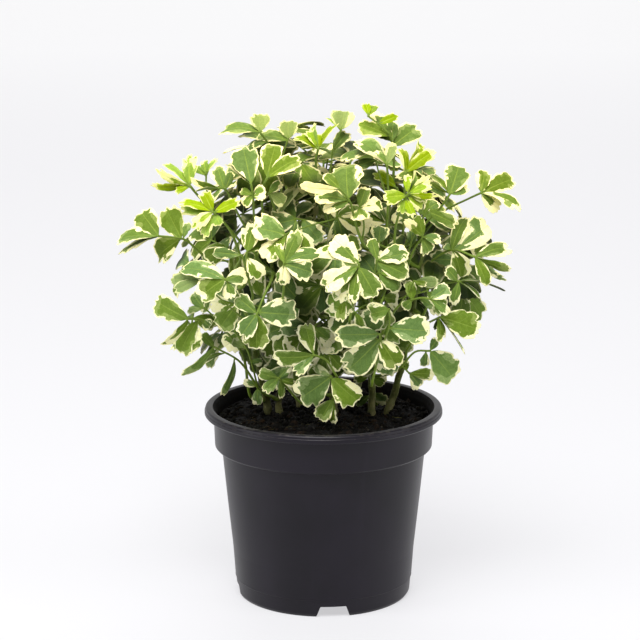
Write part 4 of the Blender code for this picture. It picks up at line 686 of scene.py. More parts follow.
        # the main stalk: a clear way from a stem out to the shoot's end
        best = None
        for tryno in range(40):
            rnd = random.Random("%s:%d" % (name, tryno))
            wide = (tryno > 0) * (1 + tryno / 12)
            a = math.radians(az + rnd.uniform(-12, 12) * wide)
            e = math.radians(el + rnd.uniform(-8, 8) * wide)
            dirn = np.array([math.sin(a) * math.cos(e), -math.cos(a) * math.cos(e), math.sin(e)])
            k = reach * rnd.uniform(0.92, 1.0)
            joint = CROWN_MID + dirn * CROWN_HALF * k
            fork = CROWN_MID + dirn * CROWN_HALF * k * 0.55 + UP * rnd.uniform(-7, -2)
            mid = (fork + joint) / 2 + UP * rnd.uniform(0.5, 3)
            got = stalk_to_stem(fork, mid, name)
            if got is None:
                continue
            lead, sname, h = got
            v, f = tube([fork, mid, joint], [0.55] * 3, 4, 0.4)
            h += world.hits(v, f)
            if best is None or h < best[0]:
                best = (h, lead[:-1] + [fork, mid, joint], sname, dirn)
            if h == 0:
                break
        bad, main, sname, dirn = best
        rad = unit(dirn / CROWN_HALF)
        side = unit(np.cross(UP, rad))
        over = np.cross(rad, side)
        own = []
        v, f = tube(main, [0.6] * len(main), 4, 0.4)
        own.append(BVHTree.FromPolygons([tuple(q) for q in v], f))
        others, placed = [], []
        length = arc_length(main[4:])

        def head(j, t, rnd):
            # one compound leaf: (branch stalk or None, its leaflets)
            if j == 0:
                J, go, line = main[-1], unit(main[-1] - main[-2]), None
            else:
                root = point_along(main[4:], length * min(0.93, 0.16 + 0.8 * (j - 0.5) / n_leaf))
                spin = 2.4 * j + rnd.uniform(-0.9, 0.9)
                reach_out = rnd.uniform(15, 27)
                J = root + (side * math.cos(spin) + over * math.sin(spin)) * reach_out + rad * rnd.uniform(0, 12)
                if J[2] < SOIL_TOP + 9:
                    J = J + UP * (SOIL_TOP + 9 - J[2])
                q = (J - CROWN_MID) / CROWN_HALF
                far = float(np.linalg.norm(q))
                if far > 1.0:
                    J = CROWN_MID + (J - CROWN_MID) / far
                m = (root + J) / 2 + UP * rnd.uniform(0.5, 2.5)
                line = [root, m, J]
                go = unit(J - m)
            out_here = unit((J - CROWN_MID) / CROWN_HALF ** 2)
            near = float(np.clip((34.0 - J[1]) / 60.0, 0.0, 1.0))
            N0 = unit(out_here * rnd.uniform(0.5, 0.9) + UP * rnd.uniform(0.45, 0.8) + side * rnd.uniform(-0.3, 0.3)
                      - FWD * rnd.uniform(0.6, 1.3) * near)
            fwd = unit(go - N0 * float(go @ N0))
            sid = np.cross(N0, fwd)
            ax = line or main[-3:]
            out = []
            for q in range(n_let):
                spin = (0.0, 0.95, -0.95, 1.9, -1.9)[q % 5] + rnd.uniform(-0.18, 0.18)
                back = (0.0, 0.0, 0.0, 3.2, 3.2)[q % 5]
                L = rnd.uniform(12.0, 16.5) * (1.0, 0.95, 0.95, 0.8, 0.8)[q % 5]
                A = J - unit(ax[-1] - ax[-2]) * back
                d = fwd * math.cos(spin) + sid * math.sin(spin)
                d = unit(d - N0 * rnd.uniform(0.0, 0.45))
                N = unit(N0 + d * rnd.uniform(0.1, 0.3))
                N = unit(N - d * float(N @ d))
                seed = "%s:%d:%d" % (name, j, q)
                kr = random.Random(seed).random()
                kind = "g" if kr < 0.6 else "d" if kr < 0.72 else "c" if kr < 0.9 else "y"
                out.append(dict(A=A + d * 0.25, B=A, T=A + d * L, N=N, W=L * rnd.uniform(0.62, 0.82),
                                arch=rnd.uniform(0.03, 0.09), fold=rnd.uniform(0.1, 0.3), kind=kind, seed=seed, plain=True))
            return line, out

        for j in range(n_leaf):
            tries = []
            for t in range(1 if j == 0 else 16):
                rnd = random.Random("%s/%d/%d" % (name, j, t))
                line, leaflets = head(j, t, rnd)
                mid_head = sum(lf["A"] * 0.4 + lf["T"] * 0.6 for lf in leaflets) / len(leaflets)
                tries.append((cover.gain(mid_head, 12.0) + 0.01 * t, t, line, leaflets))
            tries.sort(key=lambda x: -x[0])
            pick = None
            for gain, t, line, leaflets in tries[:9]:
                if line is not None:
                    v, f = tube(line, [0.5] * 3, 4, 0.4)
                    v2, f2 = tube([line[0] + (line[1] - line[0]) * 0.25] + line[1:], [0.5] * 3, 4, 0.2)
                    me = BVHTree.FromPolygons([tuple(q) for q in v2], f2)
                    if world.hits(v, f) or any(me.overlap(o) for o in own[1:]):
                        continue
                sibs, got = list(own[1:]), []
                for lf in leaflets:
                    r = fit(lf, name, (0.22, 0.45), sibs)
                    if r is None:
                        continue
                    c, f = r
                    v2, fc2 = blade_solid(c, 0.9, 0.0, 0.3)
                    sibs.append(BVHTree.FromPolygons([tuple(q) for q in v2], fc2))
                    got.append((c, f))
                if len(got) >= 2 and (pick is None or len(got) * (4 + gain) > pick[0]):
                    pick = (len(got) * (4 + gain), line, got)
                if pick is not None and len(got) >= n_let - 1:
                    break
            if pick is None:
                continue
            _, line, got = pick
            if line is not None:
                others.append(line)
                v, f = tube([line[0] + (line[1] - line[0]) * 0.25] + line[1:], [0.5] * 3, 4, 0.2)
                own.append(BVHTree.FromPolygons([tuple(q) for q in v], f))
            for c, f in got:
                v2, fc2 = blade_solid(c, 0.9, 0.0, 0.3)
                own.append(BVHTree.FromPolygons([tuple(q) for q in v2], fc2))
                placed.append((c, f))
                cover.mark(c)
        keep(dict(name=name, main=main, others=others, stem=sname, placed=placed, lost=[], worth=0, bad=bad))
    return stems, nodes, stats


# ---------------------------------------------------------------- mesh making
class Batch:
    """Verts, faces and per-vertex values of one piece, gathered before the mesh is made."""

    def __init__(self):
        self.v, self.f, self.leaf, self.plan, self.tint, self.side, self.open, self.mat = [], [], [], [], [], [], [], []
        self.n = 0

    def add(self, verts, quads, leaf=None, plan=None, tint=(0.5, 0.5, 0.0), side=0.0, mat=0, light=1.0):
        verts = np.asarray(verts, float)
        k = len(verts)
        self.v.append(verts)
        n = self.n
        self.f.extend([tuple(i + n for i in q) for q in quads])
        self.mat.extend([mat] * len(quads))
        self.leaf.append(np.zeros((k, 3)) if leaf is None else np.asarray(leaf, float))
        self.plan.append(np.zeros((k, 3)) if plan is None else np.asarray(plan, float))
        t = np.asarray(tint, float)
        self.tint.append(np.tile(t, (k, 1)) if t.ndim == 1 else t)
        s = np.asarray(side, float)
        self.side.append(np.full(k, float(s)) if s.ndim == 0 else s)
        g = np.asarray(light, float)
        self.open.append(np.full(k, float(g)) if g.ndim == 0 else g)
        self.n += k

    def make(self, name, mats, smooth=True):
        me = bpy.data.meshes.new(name)
        v = np.concatenate(self.v) * MM
        me.from_pydata([tuple(p) for p in v], [], self.f)
        for m in mats:
            me.materials.append(m)
        me.polygons.foreach_set("material_index", np.array(self.mat, np.int32))
        me.polygons.foreach_set("use_smooth", np.full(len(me.polygons), smooth))
        for key, data in (("leaf", np.concatenate(self.leaf)), ("plan", np.concatenate(self.plan)), ("tint", np.concatenate(self.tint))):
            a = me.attributes.new(key, "FLOAT_VECTOR", "POINT")
            a.data.foreach_set("vector", data.astype(np.float32).ravel())
        for key, data in (("under", self.side), ("open", self.open)):
            a = me.attributes.new(key, "FLOAT", "POINT")
            a.data.foreach_set("value", np.concatenate(data).astype(np.float32))
        me.validate()
        me.update()
        ob = bpy.data.objects.new(name, me)
        bpy.context.scene.collection.objects.link(ob)
        return ob


def fine_path(pts, step):
    # smooth curve through the points with a vertex about every step mm
    p = [np.asarray(q, float) for q in pts]
    keep = [p[0]]
    for q in p[1:]:
        if float(np.linalg.norm(q - keep[-1])) > 0.4:
            keep.append(q)
    p = keep
    if len(p) == 2:
        p = [p[0], (p[0] + p[1]) / 2, p[1]]
    q = [2 * p[0] - p[1]] + p + [2 * p[-1] - p[-2]]
    out = []
    for i in range(len(p) - 1):
        a, b, c, d = q[i:i + 4]
        n = max(2, int(math.ceil(float(np.linalg.norm(c - b)) / step)))
        for k in range(n):
            t = k / n
            out.append(0.5 * (2 * b + (c - a) * t + (2 * a - 5 * b + 4 * c - d) * t * t + (3 * b - a - 3 * c + d) * t ** 3))
    out.append(p[-1])
    return np.array(out)


def round_tube(batch, path, radii, sides=8, tint=(0.5, 0.5, 0.0), mat=1, flat=1.0, groove=0.0, point=False, light=(1.0,)):
    """A closed round tube. flat < 1 squeezes it, groove cuts a shallow channel on its upper side."""
    p = np.asarray(path, float)
    n = len(p)
    r = np.interp(np.linspace(0, 1, n), np.linspace(0, 1, len(radii)), radii)
    t = np.gradient(p, axis=0)
    t /= np.maximum(np.linalg.norm(t, axis=1), 1e-9)[:, None]
    up = np.array([0.0, 0.0, 1.0])
    a = np.cross(t[0], up)
    if float(np.linalg.norm(a)) < 0.2:
        a = np.cross(t[0], [0.0, 1.0, 0.0])
    verts, leaf = [], []
    s = np.concatenate([[0], np.cumsum(np.linalg.norm(np.diff(p, axis=0), axis=1))])
    for i in range(n):
        a = unit(a - t[i] * float(a @ t[i]))
        b = np.cross(t[i], a)
        for k in range(sides):
            w = 2 * math.pi * k / sides
            g = 1.0 - groove * max(0.0, math.sin(w)) ** 3 if groove else 1.0
            verts.append(p[i] + (a * math.cos(w) + b * math.sin(w) * flat) * r[i] * g)
            leaf.append((w, s[i], 9.0))
    faces = []
    for i in range(n - 1):
        for k in range(sides):
            k2 = (k + 1) % sides
            faces.append((i * sides + k, i * sides + k2, (i + 1) * sides + k2, (i + 1) * sides + k))
    verts.append(p[0] - t[0] * r[0] * 0.3)
    verts.append(p[-1] + t[-1] * r[-1] * (1.2 if point else 0.4))
    leaf += [(0, 0, 9.0), (0, s[-1], 9.0)]
    m = n * sides
    for k in range(sides):
        k2 = (k + 1) % sides
        faces.append((m, k2, k))
        faces.append((m + 1, (n - 1) * sides + k, (n - 1) * sides + k2))
    glow = np.interp(np.linspace(0, 1, n), np.linspace(0, 1, len(light)), light)
    glow = np.concatenate([np.repeat(glow, sides), [glow[0], glow[-1]]])
    batch.add(verts, faces, leaf=leaf, tint=tint, side=0.0, mat=mat, light=glow)


def outline(rnd, kind, phi, ratio):
    """The blade's edge, as (along, across) shares of the length; phi is 0 at the tip and +-pi at the base."""
    lime = kind == "l"
    m = rnd.uniform(0.45, 1.05) if not lime else rnd.uniform(0.6, 1.1)
    c = np.cos(phi / 2) ** m
    y = np.sin(phi) * c
    y = y / np.abs(y).max() * 0.5 * ratio
    lop = rnd.uniform(-0.14, 0.14)
    y = y * (1 + lop * np.sign(phi))
    x = 0.5 + 0.5 * np.cos(phi)
    # a blunter end on broad blades
    blunt = rnd.uniform(0.0, 0.09) * (1.0 if ratio > 0.5 else 0.3)
    x = x - blunt * np.exp(-(phi / 0.55) ** 2)
    # lobes: a notch on either side of each, their ends drawn out a little
    cut = np.zeros_like(phi)
    if lime:
        n = rnd.choice((4, 4, 6))
        at = [(-1 + 2 * (k + 0.5) / n) * 1.7 + rnd.uniform(-0.12, 0.12) for k in range(n)]
        deep = [rnd.uniform(0.14, 0.28) for _ in at]
        wide = [rnd.uniform(0.13, 0.20) for _ in at]
    else:
        n = rnd.choice((4, 5, 5, 6)) if ratio > 0.5 else rnd.choice((3, 4))
        reach = rnd.uniform(1.5, 2.1)
        at = [(-1 + 2 * (k + 0.5) / n) * reach + rnd.uniform(-0.20, 0.20) for k in range(n)]
        deep = [rnd.uniform(0.035, 0.10) for _ in at]
        wide = [rnd.uniform(0.07, 0.14) for _ in at]
        big = rnd.choice((1, 1, 2, 2)) if ratio > 0.5 else rnd.choice((0, 1, 1))
        for k in rnd.sample(range(n), min(big, n)):
            deep[k] = rnd.uniform(0.13, 0.30)
            wide[k] = rnd.uniform(0.10, 0.17)
    for p, d, w in zip(at, deep, wide):
        t = np.abs(phi - p) / w
        cut = cut + d * np.exp(-t ** 1.25) - 0.22 * d * np.exp(-((t - 2.1) / 0.9) ** 2)
    # teeth that point forward, largest round the end, none toward the base
    k = rnd.uniform(9.0, 13.0) if not lime else 10.0
    ph = rnd.uniform(0, 6.28)
    run = (np.abs(phi) + 0.12 * np.sin(phi * 2.3 + ph)) * k / 6.283 + rnd.random() * (phi > 0) + rnd.random() * (phi <= 0)
    tooth = np.clip((run % 1.0) / 0.8, 0, 1) ** 1.1 * np.clip((1.0 - run % 1.0) / 0.2, 0, 1)
    size = (0.045 + 0.055 * np.sin(phi * 1.7 + ph * 2) ** 2) if not lime else 0.07
    fade = np.clip((2.45 - np.abs(phi)) / 0.8, 0, 1)
    cut = (cut + tooth * size) * fade
    cx = 0.42
    return np.stack([cx + (x - cx) * (1 - cut), y * (1 - cut)], 1), cx


def leaflet(batch, lf, fine, light=(1.0, 1.0)):
    rnd = random.Random(lf["seed"] + "look")
    A, T, N, W, kind = lf["A"], lf["T"], lf["N"], lf["W"], lf["kind"]
    d = T - A
    L = float(np.linalg.norm(d))
    d = d / L
    w = unit(np.cross(N, d))
    n = np.cross(d, w)
    ratio = W / L * 1.02
    L = L * 1.04
    S, rings = fine[0], np.array(fine[1])
    K = len(rings)
    # spokes crowd toward the toothed end; one lies on the tip, one on the base
    q = np.linspace(-1, 1, S + 1)[:-1]
    phi = math.pi * np.sign(q) * (0.72 * np.abs(q) + 0.28 * np.abs(q) ** 3)
    edge, cx = outline(rnd, kind, phi, ratio)
    mid = np.array([cx, 0.0])
    flat = np.concatenate([mid[None, :], (mid + (edge[None, :, :] - mid) * rings[:, None, None]).reshape(-1, 2)])
    R = np.concatenate([[0.0], np.repeat(rings, S)])
    PHI = np.concatenate([[0.0], np.tile(phi, K)])
    x, y = flat[:, 0], flat[:, 1]
    s = y / (0.5 * ratio)
    xc = np.clip(x, 0, 1)
    # distance to the edge, in mm
    p0, p1 = edge, np.roll(edge, -1, axis=0)
    seg = p1 - p0
    t = ((flat[:, None, :] - p0[None]) * seg[None]).sum(-1) / np.maximum((seg * seg).sum(-1), 1e-12)[None]
    near = p0[None] + seg[None] * np.clip(t, 0, 1)[..., None]
    E = np.sqrt(((flat[:, None, :] - near) ** 2).sum(-1)).min(1) * L
    E[-S:] = 0.0
    # form: a shallow valley along the midrib, each half arched over, a wavy edge
    curl = rnd.uniform(-0.02, 0.13)
    roll = rnd.uniform(0.10, 0.34)
    ph, k = rnd.uniform(0, 6.28), rnd.uniform(2.2, 4.2)
    wave = rnd.uniform(0.006, 0.022)
    twist = rnd.uniform(-0.10, 0.10)
    bend = rnd.uniform(-0.05, 0.05)
    Z = lf["arch"] * 4 * xc * (1 - xc) + 0.5 * ratio * (lf["fold"] + 0.10) * (np.sqrt(s * s + 0.006) - 0.077)
    Z = Z - 0.5 * ratio * roll * s * s * np.abs(s) ** 0.4
    Z = Z - curl * np.clip(x - 0.5, 0, 1) ** 2 * 2.6
    Z = Z + wave * np.sin(k * PHI + ph) * R ** 2.5 * np.clip(x * 2.5, 0, 1)
    Z = Z + twist * y * (x - 0.4)
    Z = Z + 0.0028 * np.cos((x - 0.75 * np.abs(y)) * L / 3.1 * 2 * math.pi) * np.clip(1 - R, 0, 0.5) * 2
    yy = y + bend * xc * xc
    P = A + d * (x[:, None] * L) + w * (yy[:, None] * L) + n * (Z[:, None] * L)
    # normals of the sheet, from the slope of Z
    M = 1 + K * S
    tris = [(0, 1 + j, 1 + (j + 1) % S) for j in range(S)]
    quads = []
    for i in range(K - 1):
        o = 1 + i * S
        for j in range(S):
            j2 = (j + 1) % S
            quads.append((o + j, o + S + j, o + S + j2, o + j2))
    nr = np.zeros((M, 3))
    ta = np.array(tris)
    qa = np.array(quads)
    for f3 in (ta, qa[:, [0, 1, 2]], qa[:, [0, 2, 3]]):
        c = np.cross(P[f3[:, 1]] - P[f3[:, 0]], P[f3[:, 2]] - P[f3[:, 0]])
        for col in range(3):
            np.add.at(nr, f3[:, col], c)
    faces = tris + quads
    if float(nr.sum(0) @ n) < 0:
        nr = -nr
        faces = [f[::-1] for f in faces]
    nr = nr / np.maximum(np.linalg.norm(nr, axis=1), 1e-12)[:, None]
    thick = (0.15 - 0.09 * np.clip(1 - E / 1.2, 0, 1))[:, None]
    hi, lo = P + nr * thick, P - nr * thick
    down = [tuple(i + M for i in f[::-1]) for f in faces]
    last = 1 + (K - 1) * S
    rim = [(last + j, last + (j + 1) % S, last + (j + 1) % S + M, last + j + M) for j in range(S)]
    es = {e for f in faces[-S:] for e in zip(f, f[1:] + f[:1])}
    if (rim[0][0], rim[0][1]) in es:
        rim = [f[::-1] for f in rim]
    # cream share by kind; the low share of kind d is partly painted shade for leaflets that sit in shadow
    code = {"g": 0.30, "d": 0.10, "y": 0.42, "c": 0.74, "l": 0.34, "p": 0.40}[kind]
    cream = min(1.0, max(0.0, code + rnd.uniform(-0.16, 0.20)))
    # painted shade: leaflets shut in by others get less of the cream margin
    cream = min(cream, 0.12 + 1.3 * light[1])
    hue = rnd.random()
    num = float(rnd.randrange(1, 400))
    rad = np.hypot(x * L + 2.0, y * L)
    ang = np.arctan2(y * L, x * L + 2.0)
    leaf = np.stack([np.full(M, num * 7.0), ang * 9.0, rad * 0.66], 1)
    plan = np.stack([x * L, y * L, E], 1)
    pale = kind == "p"
    side = np.concatenate([np.full(M, 1.0 if pale else 0.0), np.full(M, 0.0 if pale else 1.0)])
    tint = np.tile(np.array([cream, hue, L]), (2 * M, 1))
    glow = light[0] + (light[1] - light[0]) * np.clip((x - 0.2) / 0.6, 0, 1)
    batch.add(np.concatenate([hi, lo]), faces + down + rim, leaf=np.tile(leaf, (2, 1)), plan=np.tile(plan, (2, 1)), tint=tint, side=side,
              mat=(2 if kind == "l" else 0), light=np.tile(glow, 2))
    # the midrib stands out underneath, and runs back as a short stalk to the main stalk
    tip_j, base_j = S // 2, 0
    line = [P[1 + i * S + base_j] - nr[1 + i * S + base_j] * 0.12 for i in range(K - 2, -1, -2)] + [P[0] - nr[0] * 0.12]
    line += [P[1 + i * S + tip_j] - nr[1 + i * S + tip_j] * 0.12 for i in range(0, K - 1, 2)]
    path = np.array([A - d * 0.5, A + n * 0.05] + line)
    round_tube(batch, path, [0.46, 0.40, 0.33, 0.26, 0.18, 0.12, 0.06], 6 if fine[0] > 40 else 4, tint=(0.5, hue, 0.0), mat=1, point=True, light=light)


# ---------------------------------------------------------------- materials
class Net:
    """Short hand for node trees."""

    def __init__(self, name):
        self.m = bpy.data.materials.new(name)
        self.m.use_nodes = True
        self.t = self.m.node_tree
        self.t.nodes.clear()
        self.out = self.t.nodes.new("ShaderNodeOutputMaterial")

    def node(self, kind, **props):
        n = self.t.nodes.new("ShaderNode" + kind)
        for k, v in props.items():
            setattr(n, k, v)
        return n

    def put(self, socket, value):
        if isinstance(value, bpy.types.NodeSocket):
            self.t.links.new(value, socket)
        elif value is not None:
            socket.default_value = value

    def attr(self, name):
        n = self.node("Attribute", attribute_name=name)
        n.attribute_type = "GEOMETRY"
        return n.outputs["Vector"] if name not in ("under", "open") else n.outputs["Fac"]

    def split(self, vec):
        n = self.node("SeparateXYZ")
        self.put(n.inputs[0], vec)
        return n.outputs

    def join(self, x, y, z):
        n = self.node("CombineXYZ")
        for s, v in zip(n.inputs, (x, y, z)):
            self.put(s, v)
        return n.outputs[0]

    def math(self, op, a, b=None, c=None, clamp=False):
        n = self.node("Math", operation=op, use_clamp=clamp)
        for s, v in zip(n.inputs, (a, b, c)):
            self.put(s, v)
        return n.outputs[0]

    def step(self, x, lo, hi, a=0.0, b=1.0):
        n = self.node("MapRange", interpolation_type="SMOOTHSTEP")
        self.put(n.inputs["Value"], x)
        for k, v in (("From Min", lo), ("From Max", hi), ("To Min", a), ("To Max", b)):
            self.put(n.inputs[k], v)
        return n.outputs["Result"]

    def noise(self, vec, scale, detail=2.0, rough=0.5, dist=0.0):
        n = self.node("TexNoise")
        self.put(n.inputs["Vector"], vec)
        n.inputs["Scale"].default_value = scale
        n.inputs["Detail"].default_value = detail
        n.inputs["Roughness"].default_value = rough
        n.inputs["Distortion"].default_value = dist
        return n.outputs["Fac"]

    def mix(self, fac, a, b, kind="MIX"):
        n = self.node("Mix", data_type="RGBA", blend_type=kind)
        self.put(n.inputs[0], fac)
        self.put(n.inputs[6], (*a, 1.0) if isinstance(a, tuple) and len(a) == 3 else a)
        self.put(n.inputs[7], (*b, 1.0) if isinstance(b, tuple) and len(b) == 3 else b)
        return n.outputs[2]

    def bump(self, height, strength, distance, normal=None):
        n = self.node("Bump")
        n.inputs["Strength"].default_value = strength
        n.inputs["Distance"].default_value = distance
        self.put(n.inputs["Height"], height)
        if normal is not None:
            self.put(n.inputs["Normal"], normal)
        return n.outputs["Normal"]

    def principled(self, colour, rough, normal=None, **more):
        n = self.node("BsdfPrincipled")
        self.put(n.inputs["Base Color"], (*colour, 1.0) if isinstance(colour, tuple) and len(colour) == 3 else colour)
        self.put(n.inputs["Roughness"], rough)
        if normal is not None:
            self.put(n.inputs["Normal"], normal)
        for k, v in more.items():
            n.inputs[k.replace("_", " ")].default_value = v
        return n.outputs[0]

    def finish(self, shader):
        self.t.links.new(shader, self.out.inputs["Surface"])
        return self.m


def srgb(r, g, b):
    # 0..255 display values to linear
    return tuple((c / 255 / 12.92) if c / 255 <= 0.04045 else ((c / 255 + 0.055) / 1.055) ** 2.4 for c in (r, g, b))


def leaf_material(name, lime):
    n = Net(name)
    num, across, out = n.split(n.attr("leaf"))[0:3]
    x, y, e = n.split(n.attr("plan"))[0:3]
    cream_amt, hue, long = n.split(n.attr("tint"))[0:3]
    under = n.attr("under")
    spot = n.join(across, out, num)
    shift = n.join(across, out, n.math("ADD", num, 3.1))
    # fields over the blade: broad patches, jags along the veins, fine speckle
    broad = n.noise(spot, 0.19, 1.5, 0.45)
    teeth = n.noise(shift, 0.62, 2.0, 0.6)
    speck = n.noise(spot, 2.3, 2.0, 0.6)
    # how wide the pale margin is here, in mm
    lim = n.math("SUBTRACT", 0.66, n.math("MULTIPLY", cream_amt, 0.30))
    mixed = n.math("ADD", broad, n.math("MULTIPLY", n.math("SUBTRACT", teeth, 0.5), 0.26))
    over = n.step(mixed, n.math("SUBTRACT", lim, 0.02), n.math("ADD", lim, 0.10))
    slow = n.noise(n.join(across, out, n.math("ADD", num, 29.0)), 0.34, 1.0, 0.5)
    wide = n.math("ADD", n.step(slow, 0.34, 0.66, 0.02, 0.62), n.math("MULTIPLY", teeth, 0.42))
    wide = n.math("ADD", wide, n.math("MULTIPLY", over, n.math("ADD", 1.0, n.math("MULTIPLY", cream_amt, 4.8))))
    wide = n.math("ADD", wide, n.math("MULTIPLY", n.math("SUBTRACT", speck, 0.5), 0.50))
    # the green always runs back along the midrib to the base
    ay = n.math("ABSOLUTE", y)
    along = n.math("DIVIDE", x, long)
    heart = n.math("MULTIPLY", n.step(ay, 0.3, 2.8, 1.0, 0.0), n.step(along, 0.30, 0.92, 1.0, 0.0))
    wide = n.math("SUBTRACT", wide, n.math("MULTIPLY", heart, 3.6))
    margin = n.step(n.math("SUBTRACT", wide, e), -0.09, 0.09)
    # second, greyer green between the margin and the middle
    tone_n = n.noise(n.join(across, out, n.math("ADD", num, 17.0)), 0.22, 2.0, 0.5)
    tone_w = n.math("ADD", n.math("MULTIPLY", n.math("SUBTRACT", tone_n, 0.46), 15.0), wide)
    tone = n.step(n.math("SUBTRACT", tone_w, e), -0.3, 0.3)
    mott = n.noise(n.join(across, out, n.math("ADD", num, 5.0)), 0.9, 4.0, 0.65)
    if lime:
        deep, grey, dark = srgb(138, 172, 30), srgb(172, 197, 80), srgb(110, 147, 20)
        pale, pale2 = srgb(240, 238, 180), srgb(220, 226, 134)
        rib = srgb(186, 208, 76)
        below = srgb(172, 198, 72)
    else:
        deep, grey, dark = srgb(106, 137, 58), srgb(150, 173, 100), srgb(68, 98, 24)
        pale, pale2 = srgb(254, 250, 210), srgb(247, 243, 176)
        rib = srgb(150, 172, 76)
        below = srgb(152, 170, 108)
    green = n.mix(n.math("MULTIPLY", tone, 0.85), deep, grey)
    green = n.mix(n.step(mott, 0.35, 0.72, 0.0, 0.38), green, dark)
    # each leaflet has its own shade
    hsv = n.node("HueSaturation")
    n.put(hsv.inputs["Hue"], n.step(hue, 0.0, 1.0, 0.484, 0.510))
    n.put(hsv.inputs["Saturation"], n.step(hue, 0.0, 1.0, 1.08, 0.86))
    n.put(hsv.inputs["Value"], n.step(n.math("FRACT", n.math("MULTIPLY", hue, 7.3)), 0.0, 1.0, 0.84, 1.14))
    n.put(hsv.inputs["Color"], green)
    green = hsv.outputs[0]
    cream = n.mix(n.step(mott, 0.35, 0.8), pale, pale2)
    # a greenish seam where cream meets green
    seam = n.math("MULTIPLY", n.step(n.math("ABSOLUTE", n.math("SUBTRACT", wide, e)), 0.0, 0.42, 1.0, 0.0), 0.25)
    cream = n.mix(seam, cream, grey)
    colour = n.mix(margin, green, cream)
    # veins: a thin pale midrib, and side veins that show only faintly
    rib_w = n.math("MULTIPLY", n.step(n.math("DIVIDE", x, long), 0.0, 0.95, 0.28, 0.08), 1.0)
    on_rib = n.step(n.math("SUBTRACT", rib_w, ay), -0.10, 0.08)
    run = n.math("ADD", n.math("DIVIDE", n.math("SUBTRACT", x, n.math("MULTIPLY", ay, 0.75)), 3.1), n.math("MULTIPLY", n.math("SUBTRACT", teeth, 0.5), 0.22))
    off = n.math("ABSOLUTE", n.math("SUBTRACT", n.math("FRACT", run), 0.5))
    vein = n.step(off, 0.0, 0.055, 1.0, 0.0)
    vein = n.math("MULTIPLY", vein, n.step(e, 0.3, 1.6))
    colour = n.mix(n.math("MAXIMUM", n.math("MULTIPLY", on_rib, 0.46), n.math("MULTIPLY", vein, 0.20)), colour, rib)
    # start of the blade takes the stalk's green
    colour = n.mix(n.step(x, 0.2, 1.8, 0.8, 0.0), colour, srgb(118, 146, 60))
    # underside is paler and duller
    dull = n.mix(0.60, colour, below)
    colour = n.mix(n.math("MULTIPLY", under, 0.9), colour, dull)
    # higher leaflets are lighter and yellower: partly the young leaves' own colour, partly painted light from above
    z = n.split(n.node("TexCoord").outputs["Object"])[2]
    top_light_and_young = n.step(z, 0.130, 0.190, 0.0, 0.45 if lime else 0.85)
    colour = n.mix(top_light_and_young, colour, n.mix(1.0, colour, (1.42, 1.30, 1.06), "MULTIPLY"))
    # painted shade: leaflets shut in by other leaves (low open) are darkened and made more olive
    painted_shade = n.step(n.attr("open"), 0.20, 0.72, 1.0, 0.0)
    colour = n.mix(n.math("MULTIPLY", painted_shade, 0.94), colour, n.mix(1.0, colour, (0.08, 0.10, 0.02), "MULTIPLY"))
    # painted light: leaflets open to the light from above and in front are brightened
    painted_light_open = n.step(n.attr("open"), 0.54, 0.86, 0.0, 1.0)
    colour = n.mix(painted_light_open, colour, n.mix(1.0, colour, (1.20, 1.17, 1.12), "MULTIPLY"))
    grain = n.noise(n.join(x, y, n.math("ADD", num, 11.0)), 1.9, 2.0, 0.65)
    grain = n.math("MULTIPLY", n.step(grain, 0.36, 0.66, 0.0, 0.55), n.math("SUBTRACT", 1.0, n.math("MULTIPLY", margin, 0.65)))
    colour = n.mix(grain, colour, n.mix(1.0, colour, (0.68, 0.72, 0.68), "MULTIPLY"))
    net = n.noise(n.join(x, y, num), 1.7, 3.0, 0.6)
    height = n.math("ADD", n.math("MULTIPLY", n.math("SUBTRACT", 1.0, n.math("MAXIMUM", vein, on_rib)), 0.6), n.math("MULTIPLY", net, 0.45))
    normal = n.bump(height, 0.28, 0.00025)
    rough = n.step(under, 0.0, 1.0, 0.46, 0.68)
    p = n.principled(colour, rough, normal, Specular_IOR_Level=0.09)
    tr = n.node("BsdfTranslucent")
    n.put(tr.inputs["Color"], n.mix(1.0, colour, srgb(232, 244, 120), "MULTIPLY"))
    mx = n.node("MixShader")
    mx.inputs[0].default_value = 0.22
    n.put(mx.inputs[1], p)
    n.put(mx.inputs[2], tr.outputs[0])
    return n.finish(mx.outputs[0])


